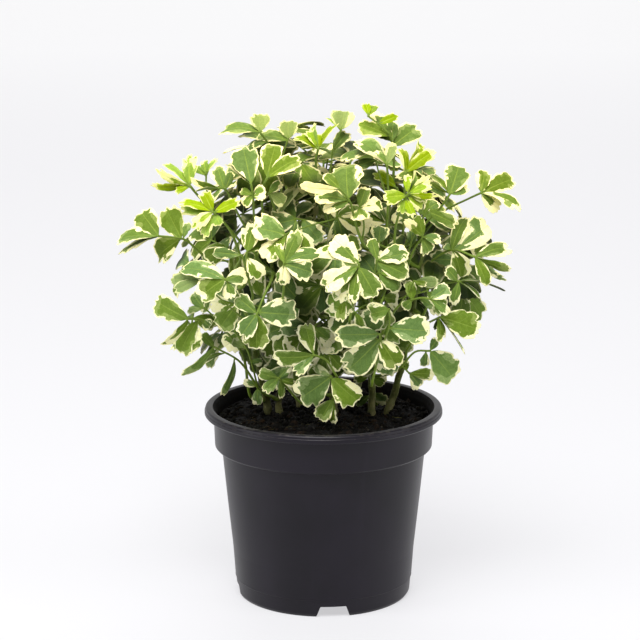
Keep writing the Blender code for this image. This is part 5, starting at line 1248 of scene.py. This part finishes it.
def stalk_material(name, young):
    n = Net(name)
    w, s, _ = n.split(n.attr("leaf"))[0:3]
    co = n.node("TexCoord").outputs["Object"]
    streak = n.noise(n.join(n.math("SINE", w), n.math("COSINE", w), n.math("MULTIPLY", s, 0.12)), 3.0, 3.0, 0.6)
    patch = n.noise(co, 160.0, 3.0, 0.6)
    a, b, c = (srgb(120, 144, 44), srgb(94, 118, 28), srgb(142, 162, 68)) if young else (srgb(108, 122, 48), srgb(80, 94, 30), srgb(130, 141, 70))
    colour = n.mix(n.step(streak, 0.35, 0.65), a, b)
    colour = n.mix(n.step(patch, 0.55, 0.75, 0.0, 0.6), colour, c)
    if not young:
        # corky dots and rings, browner toward the soil
        _, _, z = n.split(co)[0:3]
        low = n.step(z, 0.074, 0.100, 1.0, 0.0)
        bark = n.mix(n.step(patch, 0.4, 0.6), srgb(122, 108, 70), srgb(82, 72, 44))
        colour = n.mix(n.math("MULTIPLY", low, 0.75), colour, bark)
        dots = n.node("TexVoronoi")
        n.put(dots.inputs["Vector"], co)
        dots.inputs["Scale"].default_value = 620.0
        dot = n.step(dots.outputs["Distance"], 0.14, 0.24, 1.0, 0.0)
        colour = n.mix(n.math("MULTIPLY", dot, 0.5), colour, srgb(168, 156, 116))
    # painted shade: stalks and stems shut in by leaves are darkened
    painted_shade = n.step(n.attr("open"), 0.02, 0.30, 1.0, 0.0)
    colour = n.mix(n.math("MULTIPLY", painted_shade, 0.7 if young else 0.45), colour, n.mix(1.0, colour, (0.34, 0.36, 0.22), "MULTIPLY"))
    ridge = n.noise(n.join(n.math("MULTIPLY", n.math("SINE", w), 2.0), n.math("MULTIPLY", n.math("COSINE", w), 2.0), n.math("MULTIPLY", s, 0.08)), 4.0, 2.0, 0.5)
    normal = n.bump(n.math("ADD", ridge, n.math("MULTIPLY", patch, 0.5)), 0.4, 0.0004)
    return n.finish(n.principled(colour, 0.5 if young else 0.68, normal, Specular_IOR_Level=0.35))


def pot_material():
    n = Net("black_plastic")
    co = n.node("TexCoord").outputs["Object"]
    x, y, z = n.split(co)[0:3]
    ang = n.math("ARCTAN2", y, x)
    cyl = n.join(n.math("COSINE", ang), n.math("SINE", ang), n.math("MULTIPLY", z, 12.0))
    cloud = n.noise(co, 28.0, 3.0, 0.55)
    fine = n.noise(co, 1500.0, 3.0, 0.6)
    flow = n.noise(n.join(n.math("MULTIPLY", n.math("COSINE", ang), 6.0), n.math("MULTIPLY", n.math("SINE", ang), 6.0), n.math("MULTIPLY", z, 7.0)), 1.0, 3.0, 0.5)
    dust = n.noise(co, 420.0, 2.0, 0.7)
    colour = n.mix(n.step(cloud, 0.3, 0.7), srgb(13, 10, 18), srgb(21, 17, 27))
    colour = n.mix(n.step(flow, 0.55, 0.8, 0.0, 0.25), colour, srgb(29, 25, 36))
    # faint dust that settles on the rim and the collar's ledge
    up = n.split(n.node("NewGeometry").outputs["Normal"])[2]
    settle = n.math("MULTIPLY", n.step(up, 0.35, 0.95), n.step(dust, 0.45, 0.72, 0.0, 0.35))
    colour = n.mix(settle, colour, srgb(104, 98, 92))
    rough = n.math("ADD", n.step(cloud, 0.2, 0.8, 0.34, 0.42), n.math("MULTIPLY", settle, 0.3))
    normal = n.bump(n.math("ADD", n.math("MULTIPLY", fine, 0.35), n.math("MULTIPLY", flow, 0.65)), 0.16, 0.0003)
    return n.finish(n.principled(colour, rough, normal, Specular_IOR_Level=0.26))


def wall_material():
    # the pot's inner wall: the same plastic, dulled by a film of soil
    n = Net("soiled_plastic")
    co = n.node("TexCoord").outputs["Object"]
    film = n.noise(co, 260.0, 4.0, 0.65)
    drip = n.noise(n.join(n.math("MULTIPLY", n.split(co)[0], 900.0), n.math("MULTIPLY", n.split(co)[1], 900.0), n.math("MULTIPLY", n.split(co)[2], 160.0)), 1.0, 2.0, 0.5)
    colour = n.mix(n.step(film, 0.35, 0.7), srgb(9, 7, 8), srgb(22, 17, 12))
    colour = n.mix(n.step(drip, 0.55, 0.75, 0.0, 0.5), colour, srgb(38, 30, 20))
    normal = n.bump(film, 0.5, 0.0004)
    return n.finish(n.principled(colour, n.step(film, 0.3, 0.7, 0.72, 0.92), normal, Specular_IOR_Level=0.12))


def soil_material(name, tone):
    n = Net(name)
    co = n.node("TexCoord").outputs["Object"]
    a = n.noise(co, 420.0, 5.0, 0.65)
    b = n.noise(co, 1900.0, 3.0, 0.6)
    c = n.noise(co, 90.0, 2.0, 0.5)
    dark, mid, light = tone
    colour = n.mix(n.step(a, 0.42, 0.66), dark, mid)
    colour = n.mix(n.step(b, 0.58, 0.74, 0.0, 0.55), colour, light)
    colour = n.mix(n.step(c, 0.35, 0.65, 0.0, 0.5), colour, dark)
    normal = n.bump(n.math("ADD", a, n.math("MULTIPLY", b, 0.5)), 0.9, 0.0012)
    return n.finish(n.principled(colour, n.step(a, 0.3, 0.7, 0.62, 0.92), normal, Specular_IOR_Level=0.16))


# ---------------------------------------------------------------- pot
RIM_R, COLLAR_R, COLLAR_LOW, BODY_TOP_R = 50.8, 46.9, 64.9, 43.45
FOOT_R, SEAM_HIGH, BASE_R, WALL = 38.1, 7.6, 36.6, 1.15
FLOOR_LOW, FLOOR_TOP = 2.4, 3.6
SLOT_COUNT, SLOT_FIRST, SLOT_TOP_W, SLOT_LOW_W, SLOT_HIGH = 4, 6.3, 10.9, 13.9, 4.7
HOLE_R = 1.8


def fillet(points):
    """points: (r, z, radius). Rounds each corner of the profile by its radius."""
    out = []
    for i, (r, z, f) in enumerate(points):
        p = np.array([r, z], float)
        if i in (0, len(points) - 1) or f <= 0:
            out.append(p)
            continue
        a = np.array(points[i - 1][:2], float)
        b = np.array(points[i + 1][:2], float)
        u, v = unit(a - p), unit(b - p)
        ang = math.acos(max(-1.0, min(1.0, float(u @ v))))
        cut = f / max(math.tan(ang / 2), 1e-6)
        cut = min(cut, 0.45 * float(np.linalg.norm(a - p)), 0.45 * float(np.linalg.norm(b - p)))
        s, e = p + u * cut, p + v * cut
        n = 5 if f > 0.25 else 3
        for k in range(n + 1):
            t = k / n
            out.append(s * (1 - t) ** 2 + p * 2 * t * (1 - t) + e * t * t)
    return out


def revolve(name, profile, steps, mats):
    verts, faces = [], []
    rows = []
    for r, z in profile:
        if r < 1e-6:
            verts.append((0.0, 0.0, z * MM))
            rows.append([len(verts) - 1])
        else:
            rows.append(list(range(len(verts), len(verts) + steps)))
            for k in range(steps):
                w = 2 * math.pi * k / steps
                verts.append((r * MM * math.cos(w), r * MM * math.sin(w), z * MM))
    for a, b in zip(rows[:-1], rows[1:]):
        for k in range(steps):
            k2 = (k + 1) % steps
            if len(a) == 1:
                faces.append((a[0], b[k], b[k2]))
            elif len(b) == 1:
                faces.append((a[k], b[0], a[k2]))
            else:
                faces.append((a[k], b[k], b[k2], a[k2]))
    me = bpy.data.meshes.new(name)
    me.from_pydata(verts, [], faces)
    for m in mats:
        me.materials.append(m)
    bm = bmesh.new()
    bm.from_mesh(me)
    bmesh.ops.recalc_face_normals(bm, faces=bm.faces)
    bm.to_mesh(me)
    bm.free()
    ob = bpy.data.objects.new(name, me)
    bpy.context.scene.collection.objects.link(ob)
    return ob


def apply_all(ob):
    dg = bpy.context.evaluated_depsgraph_get()
    me = bpy.data.meshes.new_from_object(ob.evaluated_get(dg))
    ob.modifiers.clear()
    ob.data = me
    return ob


def make_pot():
    prof = fillet([
        (0.0, FLOOR_TOP, 0), (36.3, FLOOR_TOP, 1.2), (BODY_TOP_R - WALL, COLLAR_LOW + 0.4, 0.8),
        (COLLAR_R - WALL - 0.35, COLLAR_LOW + 2.2, 0.8), (COLLAR_R - WALL, 79.2, 1.5), (46.5, 81.3, 0.8), (47.35, 82.35, 0.4),
        (48.1, 82.5, 0.5), (49.9, 82.44, 0.6), (50.42, 81.9, 0.4), (50.44, 81.1, 0.12), (RIM_R - 0.05, 80.85, 0.14),
        (RIM_R, 79.55, 0.3), (50.25, 78.95, 0.3), (48.5, 79.0, 0.2), (COLLAR_R + 0.1, 78.8, 0.4),
        (COLLAR_R - 0.45, COLLAR_LOW + 0.8, 0.5), (COLLAR_R - 1.2, COLLAR_LOW, 0.5), (BODY_TOP_R + 0.1, COLLAR_LOW - 0.3, 0.5),
        (BODY_TOP_R - 0.05, COLLAR_LOW - 1.6, 0.3), (41.2, 41.0, 2.0), (38.95, 20.0, 2.0), (FOOT_R + 0.02, SEAM_HIGH + 0.35, 0.15),
        (FOOT_R + 0.06, SEAM_HIGH, 0.12), (FOOT_R - 0.25, SEAM_HIGH - 0.3, 0.15), (37.3, 1.3, 0.8), (BASE_R - 0.1, 0.0, 0.5),
        (BASE_R - 1.3, 0.0, 0.2), (BASE_R - 1.0, FLOOR_LOW, 0.3), (0.0, FLOOR_LOW, 0)])
    pot = revolve("aralia_pot", prof, 192, [pot_material()])
    tools = []
    for k in range(SLOT_COUNT):
        a = math.radians(SLOT_FIRST + 360.0 * k / SLOT_COUNT)
        out, side = np.array([math.sin(a), -math.cos(a), 0]), np.array([math.cos(a), math.sin(a), 0])
        # rounded trapezoid, in the plane of the wall
        w0, w1 = SLOT_LOW_W / 2 + 0.5, SLOT_TOP_W / 2
        ring = fillet([(-w0 - 0.01, -1.0, 0), (-w0, -1.0, 0), (-w1, SLOT_HIGH, 0.7), (w1, SLOT_HIGH, 0.7), (w0, -1.0, 0)])[1:]
        bm = bmesh.new()
        near = [bm.verts.new([c * MM for c in out * 29.0 + side * p[0] + np.array([0, 0, p[1]])]) for p in ring]
        far = [bm.verts.new([c * MM for c in out * 41.0 + side * p[0] + np.array([0, 0, p[1]])]) for p in ring]
        bm.faces.new(near)
        bm.faces.new(far[::-1])
        for i in range(len(ring)):
            j = (i + 1) % len(ring)
            bm.faces.new((near[j], near[i], far[i], far[j]))
        bmesh.ops.recalc_face_normals(bm, faces=bm.faces)
        me = bpy.data.meshes.new("slot_tool")
        bm.to_mesh(me)
        bm.free()
        tools.append(bpy.data.objects.new("slot_tool", me))
    for k in range(5):
        a = math.radians(45 + 90 * k)
        r = 0.0 if k == 4 else 19.0
        bm = bmesh.new()
        bmesh.ops.create_cone(bm, cap_ends=True, segments=24, radius1=HOLE_R * MM, radius2=HOLE_R * MM, depth=4 * MM)
        bmesh.ops.translate(bm, verts=bm.verts, vec=(r * math.cos(a) * MM, r * math.sin(a) * MM, 3.0 * MM))
        me = bpy.data.meshes.new("drain_tool")
        bm.to_mesh(me)
        bm.free()
        tools.append(bpy.data.objects.new("drain_tool", me))
    for t in tools:
        bpy.context.scene.collection.objects.link(t)
        m = pot.modifiers.new("cut", "BOOLEAN")
        m.operation, m.solver, m.object = "DIFFERENCE", "EXACT", t
    apply_all(pot)
    for t in tools:
        bpy.data.objects.remove(t, do_unlink=True)
    pot.data.polygons.foreach_set("use_smooth", np.full(len(pot.data.polygons), True))
    bm = bmesh.new()
    bm.from_mesh(pot.data)
    bmesh.ops.remove_doubles(bm, verts=bm.verts, dist=0.000004)
    for e in bm.edges:
        if len(e.link_faces) == 2 and e.calc_face_angle(0.0) > math.radians(42):
            e.smooth = False
    bm.to_mesh(pot.data)
    bm.free()
    return pot


# ---------------------------------------------------------------- soil
def soil_height(x, y):
    """Height of the soil's surface at a place, in mm."""
    r = math.hypot(x, y)
    z = SOIL_TOP + 0.5
    z += 0.8 * noise.noise(Vector((x * 0.055, y * 0.055, 3.1)))
    z += 0.8 * noise.noise(Vector((x * 0.16, y * 0.16, 7.7)))
    z += 0.55 * noise.noise(Vector((x * 0.45, y * 0.45, 1.3)))
    z += 0.35 * noise.noise(Vector((x * 1.1, y * 1.1, 5.9)))
    # heaped a little around the stems, sunk a little along the wall
    z += 0.4 * math.exp(-((r - 14) / 16.0) ** 2)
    z -= 0.5 * max(0.0, (r - 38.0) / 7.0) ** 1.6
    return z


def make_soil(mat):
    steps = 170
    radii = [0.0] + [float(r) for r in np.linspace(1.2, 44.2, 48)] + [44.9, 45.3]
    verts, faces, rows = [], [], []
    for r in radii:
        if r == 0.0:
            verts.append((0.0, 0.0, soil_height(0, 0)))
            rows.append([0])
            continue
        row = []
        for k in range(steps):
            w = 2 * math.pi * (k + 0.5 * (len(rows) % 2)) / steps
            x, y = r * math.cos(w), r * math.sin(w)
            row.append(len(verts))
            verts.append((x, y, soil_height(x, y)))
        rows.append(row)
    for r, z in ((45.3, 73.0), (44.9, 67.5), (41.8, 65.55), (35.45, 3.95)):
        row = []
        for k in range(steps):
            w = 2 * math.pi * k / steps
            row.append(len(verts))
            g = 1.0 + 0.004 * noise.noise(Vector((math.cos(w) * 9, math.sin(w) * 9, z)))
            verts.append((r * math.cos(w) * g, r * math.sin(w) * g, z))
        rows.append(row)
    verts.append((0.0, 0.0, 3.95))
    rows.append([len(verts) - 1])
    for a, b in zip(rows[:-1], rows[1:]):
        for k in range(steps):
            k2 = (k + 1) % steps
            if len(a) == 1:
                faces.append((a[0], b[k], b[k2]))
            elif len(b) == 1:
                faces.append((a[k2], a[k], b[0]))
            else:
                faces.append((a[k], b[k], b[k2], a[k2]))
    me = bpy.data.meshes.new("aralia_soil")
    me.from_pydata([(x * MM, y * MM, z * MM) for x, y, z in verts], [], faces)
    me.materials.append(mat)
    me.polygons.foreach_set("use_smooth", np.full(len(me.polygons), True))
    bm = bmesh.new()
    bm.from_mesh(me)
    bmesh.ops.recalc_face_normals(bm, faces=bm.faces)
    bm.to_mesh(me)
    bm.free()
    ob = bpy.data.objects.new("aralia_soil", me)
    bpy.context.scene.collection.objects.link(ob)
    return ob


def lumps(name, mats, count, sizes, seed, sink, share=None, level=1, flat=0.75):
    """Loose grains lying on the soil."""
    rnd = random.Random(seed)
    bm0 = bmesh.new()
    bmesh.ops.create_icosphere(bm0, subdivisions=level, radius=1.0)
    base = np.array([v.co[:] for v in bm0.verts])
    tris = [tuple(v.index for v in f.verts) for f in bm0.faces]
    bm0.free()
    verts, faces, mi = [], [], []
    for k in range(count):
        r = 44.8 * math.sqrt(rnd.random()) * (0.995 if rnd.random() < 0.8 else 0.98)
        w = rnd.uniform(0, 2 * math.pi)
        x, y = r * math.cos(w), r * math.sin(w)
        s = sizes[0] + (sizes[1] - sizes[0]) * rnd.random() ** 2.6
        r_in = 45.2 - s
        if r > r_in:
            x, y = x * r_in / r, y * r_in / r
        rot = Matrix.Rotation(rnd.uniform(0, 6.28), 3, Vector((rnd.gauss(0, 1), rnd.gauss(0, 1), rnd.gauss(0, 1))).normalized())
        sc = np.array([rnd.uniform(0.75, 1.35), rnd.uniform(0.7, 1.1), rnd.uniform(0.55, 0.95) * flat / 0.75])
        jit = np.array([1 + 0.42 * noise.noise(Vector(p * 1.7) + Vector((k * 1.37, 0, 0))) for p in base])
        p = (base * jit[:, None] * sc) @ np.array(rot) * s
        z = soil_height(x, y) + s * sink
        n = len(verts)
        verts.extend([(float(a + x) * MM, float(b + y) * MM, float(c + z) * MM) for a, b, c in p])
        faces.extend([(a + n, b + n, c + n) for a, b, c in tris])
        m = 0
        if share is not None:
            t = rnd.random()
            m = next((i for i, lim in enumerate(share) if t < lim), len(share))
        mi.extend([m] * len(tris))
    me = bpy.data.meshes.new(name)
    me.from_pydata(verts, [], faces)
    for m in mats:
        me.materials.append(m)
    me.polygons.foreach_set("material_index", np.array(mi, np.int32))
    me.polygons.foreach_set("use_smooth", np.full(len(me.polygons), True))
    me.update()
    ob = bpy.data.objects.new(name, me)
    bpy.context.scene.collection.objects.link(ob)
    return ob


def make_fibres(mats):
    """Bits of root, stalk and bark fibre lying on the soil."""
    b = Batch()
    rnd = random.Random("fibres")
    for k in range(230):
        r = 43.8 * math.sqrt(rnd.random())
        w = rnd.uniform(0, 2 * math.pi)
        x, y = r * math.cos(w), r * math.sin(w)
        go = rnd.uniform(0, 2 * math.pi)
        L = rnd.uniform(1.8, 8.5) * (1.0 if rnd.random() < 0.75 else 1.5)
        pts = []
        bend = rnd.uniform(-0.7, 0.7)
        lift = rnd.uniform(0.0, 1.3) if rnd.random() < 0.4 else 0.1
        for i in range(6):
            t = i / 5
            a = go + bend * t * 2.2
            if i:
                x += math.cos(a) * L / 5
                y += math.sin(a) * L / 5
            rr = math.hypot(x, y)
            if rr > 44.6:
                x, y = x * 44.6 / rr, y * 44.6 / rr
            pts.append((x, y, soil_height(x, y) + 0.12 + lift * math.sin(math.pi * t) + (0.6 * lift if i == 5 else 0)))
        th = rnd.uniform(0.07, 0.20)
        t = rnd.random()
        round_tube(b, fine_path(pts, 0.9), [th * 0.7, th, th * 0.5], 5, mat=0 if t < 0.62 else 1 if t < 0.9 else 2, point=True)
    return b.make("aralia_soil_fibres", mats)


# ---------------------------------------------------------------- building
mat_leaf = leaf_material("leaf_variegated", False)
mat_lime = leaf_material("leaf_lime", True)
mat_stalk = stalk_material("leaf_stalk", True)
mat_stem = stalk_material("stem_bark", False)
mat_soil = soil_material("potting_soil", (srgb(4, 3, 2), srgb(15, 12, 7), srgb(46, 38, 24)))
mat_crumb = soil_material("soil_crumb", (srgb(5, 4, 2), srgb(26, 21, 12), srgb(74, 62, 38)))
mat_bark = soil_material("bark_chip", (srgb(26, 18, 10), srgb(52, 38, 24), srgb(84, 66, 42)))
mat_grit = soil_material("pale_grit", (srgb(70, 66, 56), srgb(116, 110, 96), srgb(164, 158, 142)))
mat_fibre = soil_material("fibre_brown", (srgb(40, 30, 18), srgb(72, 58, 34), srgb(104, 86, 54)))
mat_fibre2 = soil_material("fibre_pale", (srgb(92, 88, 50), srgb(126, 120, 74), srgb(156, 150, 102)))
mat_fibre3 = soil_material("fibre_dark", (srgb(14, 11, 8), srgb(34, 26, 18), srgb(60, 48, 34)))

stems, nodes, stats = layout()
stem_of = {name: (path, rad) for name, path, rad in stems}
pieces = []

# How open the crown is around a point: the share of directions, weighted to
# the light from above and in front, that meet no leaf or stem within 45 mm.
# It sets the painted shade and painted light in the leaf and stalk colours.
tv, tf = [], []
for node in nodes:
    for lf, f in node["placed"]:
        pts, tri, _ = blade_points(lf)
        tf += [tuple(i + len(tv) for i in t) for t in tri]
        tv += [tuple(q) for q in pts]
for sname, path, rad in stems:
    pts, quads = tube(path, rad, 6)
    tf += [tuple(i + len(tv) for i in t) for t in quads]
    tv += [tuple(q) for q in pts]
crowd = BVHTree.FromPolygons(tv, tf)
rays = []
for k in range(56):
    z = 1 - 2 * (k + 0.5) / 56
    a = k * 2.39996
    q = np.array([math.cos(a) * math.sqrt(1 - z * z), math.sin(a) * math.sqrt(1 - z * z), z])
    rays.append((q, 0.25 + max(0.0, float(q @ unit([0.0, -0.6, 0.8])))))


def openness(p, N=None):
    got = total = 0.0
    for q, wt in rays:
        o = p + (q * 1.2 if N is None else N * (1.3 if float(q @ N) > 0 else -1.3))
        total += wt
        if o[2] + q[2] * 12.0 > SOIL_TOP and crowd.ray_cast(Vector(o), Vector(q), 45.0)[0] is None:
            got += wt
    return got / total


def open_along(path, k=5):
    p = np.asarray(path, float)
    return [openness(p[int(round(i * (len(p) - 1) / (k - 1)))]) for i in range(k)]


FINE = (48, [0.28, 0.52, 0.72, 0.86, 0.95, 1.0])
COARSE = (36, [0.34, 0.62, 0.82, 0.94, 1.0])

for node in nodes:
    name = node["name"]
    b = Batch()
    lime = name.startswith("shoot_lime")
    made_up = name in {s[0] for s in SHOOTS}
    rnd = random.Random(name)
    # main stalk, rooted in its stem by a clasping base
    main = [np.asarray(p, float) for p in node["main"]]
    path, rad = stem_of[node["stem"]]
    i = min(range(len(path)), key=lambda k: float(np.linalg.norm(path[k] - main[0])))
    start = path[i] + (main[0] - path[i]) * 0.25
    line = fine_path([start] + main, 1.6)
    end = 0.40 if not lime else 0.50
    radii = [1.10, 0.92, 0.70] + [0.60] * 3 + [0.56, 0.52, 0.48, 0.45, end + 0.05, end + 0.10]
    hue = rnd.random()
    round_tube(b, line, radii, 10, tint=(0.5, hue, 0.0), mat=1, groove=0.16, light=open_along(line))
    for other in node["others"]:
        line = fine_path(other, 1.6)
        round_tube(b, line, [0.54, 0.42, 0.38, 0.36, 0.36, 0.44], 8, tint=(0.5, hue, 0.0), mat=1, groove=0.12, light=open_along(line, 3))
    for lf, f in node["placed"]:
        painted_light_open = [openness(lf["A"] * (1 - t) + lf["T"] * t, lf["N"]) for t in (0.3, 0.8)]
        leaflet(b, lf, COARSE if made_up else FINE, painted_light_open)
    ob = b.make("aralia_" + name, [mat_leaf, mat_stalk, mat_lime])
    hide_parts(name)
    pieces.append(ob)

for name, path, rad in stems:
    b = Batch()
    rnd = random.Random(name)
    line = fine_path(path, 0.9)
    s = np.concatenate([[0], np.cumsum(np.linalg.norm(np.diff(line, axis=0), axis=1))])
    r = np.interp(np.linspace(0, 1, len(line)), np.linspace(0, 1, len(rad)), rad)
    # nodes where leaves sit or have fallen: a low ring
    at = rnd.uniform(3, 6)
    ring = np.zeros(len(line))
    while at < s[-1]:
        ring += np.exp(-((s - at) / 0.8) ** 2) * rnd.uniform(0.10, 0.26)
        at += rnd.uniform(6.0, 11.0)
    for i in range(len(line)):
        line[i] = line[i] + np.array([noise.noise(Vector((s[i] * 0.12, 1.0, rad[0]))), noise.noise(Vector((s[i] * 0.12, 9.0, rad[0]))), 0.0]) * 0.35
    r = r * (1.0 + ring + 0.05 * np.sin(s * 0.7 + rnd.uniform(0, 6)))
    r = r * (0.84 + 0.16 * np.exp(-np.maximum(s - 9.0, 0) / 3.0))
    round_tube(b, line, list(r), 14, mat=0, light=open_along(line, 9))
    ob = b.make("aralia_" + name, [mat_stem])
    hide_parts(name)
    pieces.append(ob)

soil = make_soil(mat_soil)
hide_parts("soil")
crumbs = lumps("aralia_soil_crumbs", [mat_crumb, mat_soil, mat_bark], 1300, (0.28, 1.9), "crumbs", 0.25, share=(0.5, 0.90))
chips = lumps("aralia_soil_chips", [mat_bark, mat_crumb], 70, (0.7, 2.2), "chips", 0.2, share=(0.7,), flat=0.35)
grit = lumps("aralia_soil_grit", [mat_grit], 110, (0.16, 0.62), "grit", 0.45)
fibres = make_fibres([mat_fibre, mat_fibre3, mat_fibre2])
pot = make_pot()
pot.data.materials.append(wall_material())
for face in pot.data.polygons:
    q = face.center
    rr = math.hypot(q.x, q.y)
    if rr < 0.0476 and 0.060 < q.z < 0.0823 and face.normal.x * q.x + face.normal.y * q.y < -0.3 * rr:
        face.material_index = 1
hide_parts("pot")
pieces += [soil, crumbs, chips, grit, fibres, pot]
for ob in pieces:
    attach(ob, "root")

# ---------------------------------------------------------------- studio
scene = bpy.context.scene
me = bpy.data.meshes.new("studio_floor")
line = [(-3.0, 0.0)] + [(y, 0.0) for y in (-1.0, 0.0, 1.0, 2.0)] + [(2.0 + 1.2 * math.sin(a), 1.2 - 1.2 * math.cos(a)) for a in np.linspace(0.1, math.pi / 2, 12)] + [(3.2, 4.0)]
verts = [(x, y, z) for x in (-5.0, 5.0) for y, z in line]
k = len(line)
me.from_pydata(verts, [], [(i, i + k, i + k + 1, i + 1) for i in range(k - 1)])
me.polygons.foreach_set("use_smooth", np.full(k - 1, True))
floor = bpy.data.objects.new("studio_floor", me)
scene.collection.objects.link(floor)
n = Net("studio_white")
p = n.node("BsdfPrincipled")
p.inputs["Base Color"].default_value = (0.25, 0.25, 0.255, 1.0)
p.inputs["Roughness"].default_value = 0.7
p.inputs["Specular IOR Level"].default_value = 0.2
back = n.step(n.split(n.node("TexCoord").outputs["Object"])[1], 1.0, 2.8)
n.put(p.inputs["Emission Color"], n.mix(back, (0.815, 0.81, 0.832), (1.0, 1.0, 1.0)))
p.inputs["Emission Strength"].default_value = 0.70
me.materials.append(n.finish(p.outputs[0]))

world = bpy.data.worlds.new("studio")
world.use_nodes = True
world.node_tree.nodes["Background"].inputs["Color"].default_value = (1.0, 1.0, 1.0, 1.0)
world.node_tree.nodes["Background"].inputs["Strength"].default_value = 0.20
scene.world = world


def lamp(name, at, to, size, power, size_y=None):
    li = bpy.data.lights.new(name, "AREA")
    li.energy = power
    li.shape = "RECTANGLE"
    li.size = size
    li.size_y = size_y or size
    ob = bpy.data.objects.new(name, li)
    ob.location = at
    ob.rotation_euler = (Vector(to) - Vector(at)).to_track_quat("-Z", "Y").to_euler()
    scene.collection.objects.link(ob)
    return ob


lamp("soft_top", (-0.12, -0.70, 1.28), (0.0, 0.0, 0.12), 0.8, 21.5)
lamp("backdrop_light", (0.0, 1.3, 2.2), (0.0, 2.3, 0.2), 1.6, 32.0)
lamp("side_left", (-1.05, -0.38, 0.42), (0.0, 0.0, 0.10), 0.5, 6.9, 0.9)
lamp("side_right", (1.05, -0.38, 0.42), (0.0, 0.0, 0.10), 0.5, 5.5, 0.9)

cam = bpy.data.cameras.new("camera")
cam.lens = 136.24
cam.sensor_width = 36.0
cam.clip_start, cam.clip_end = 0.05, 20.0
camera = bpy.data.objects.new("camera", cam)
camera.location = (-0.0015, -1.0, 0.351)
camera.rotation_euler = (math.radians(76.97), 0.0, 0.0)
scene.collection.objects.link(camera)
scene.camera = camera
scene.view_settings.view_transform = "Standard"
scene.view_settings.look = "None"
scene.view_settings.exposure = 0.0
scene.view_settings.gamma = 1.0

bpy.context.view_layer.update()
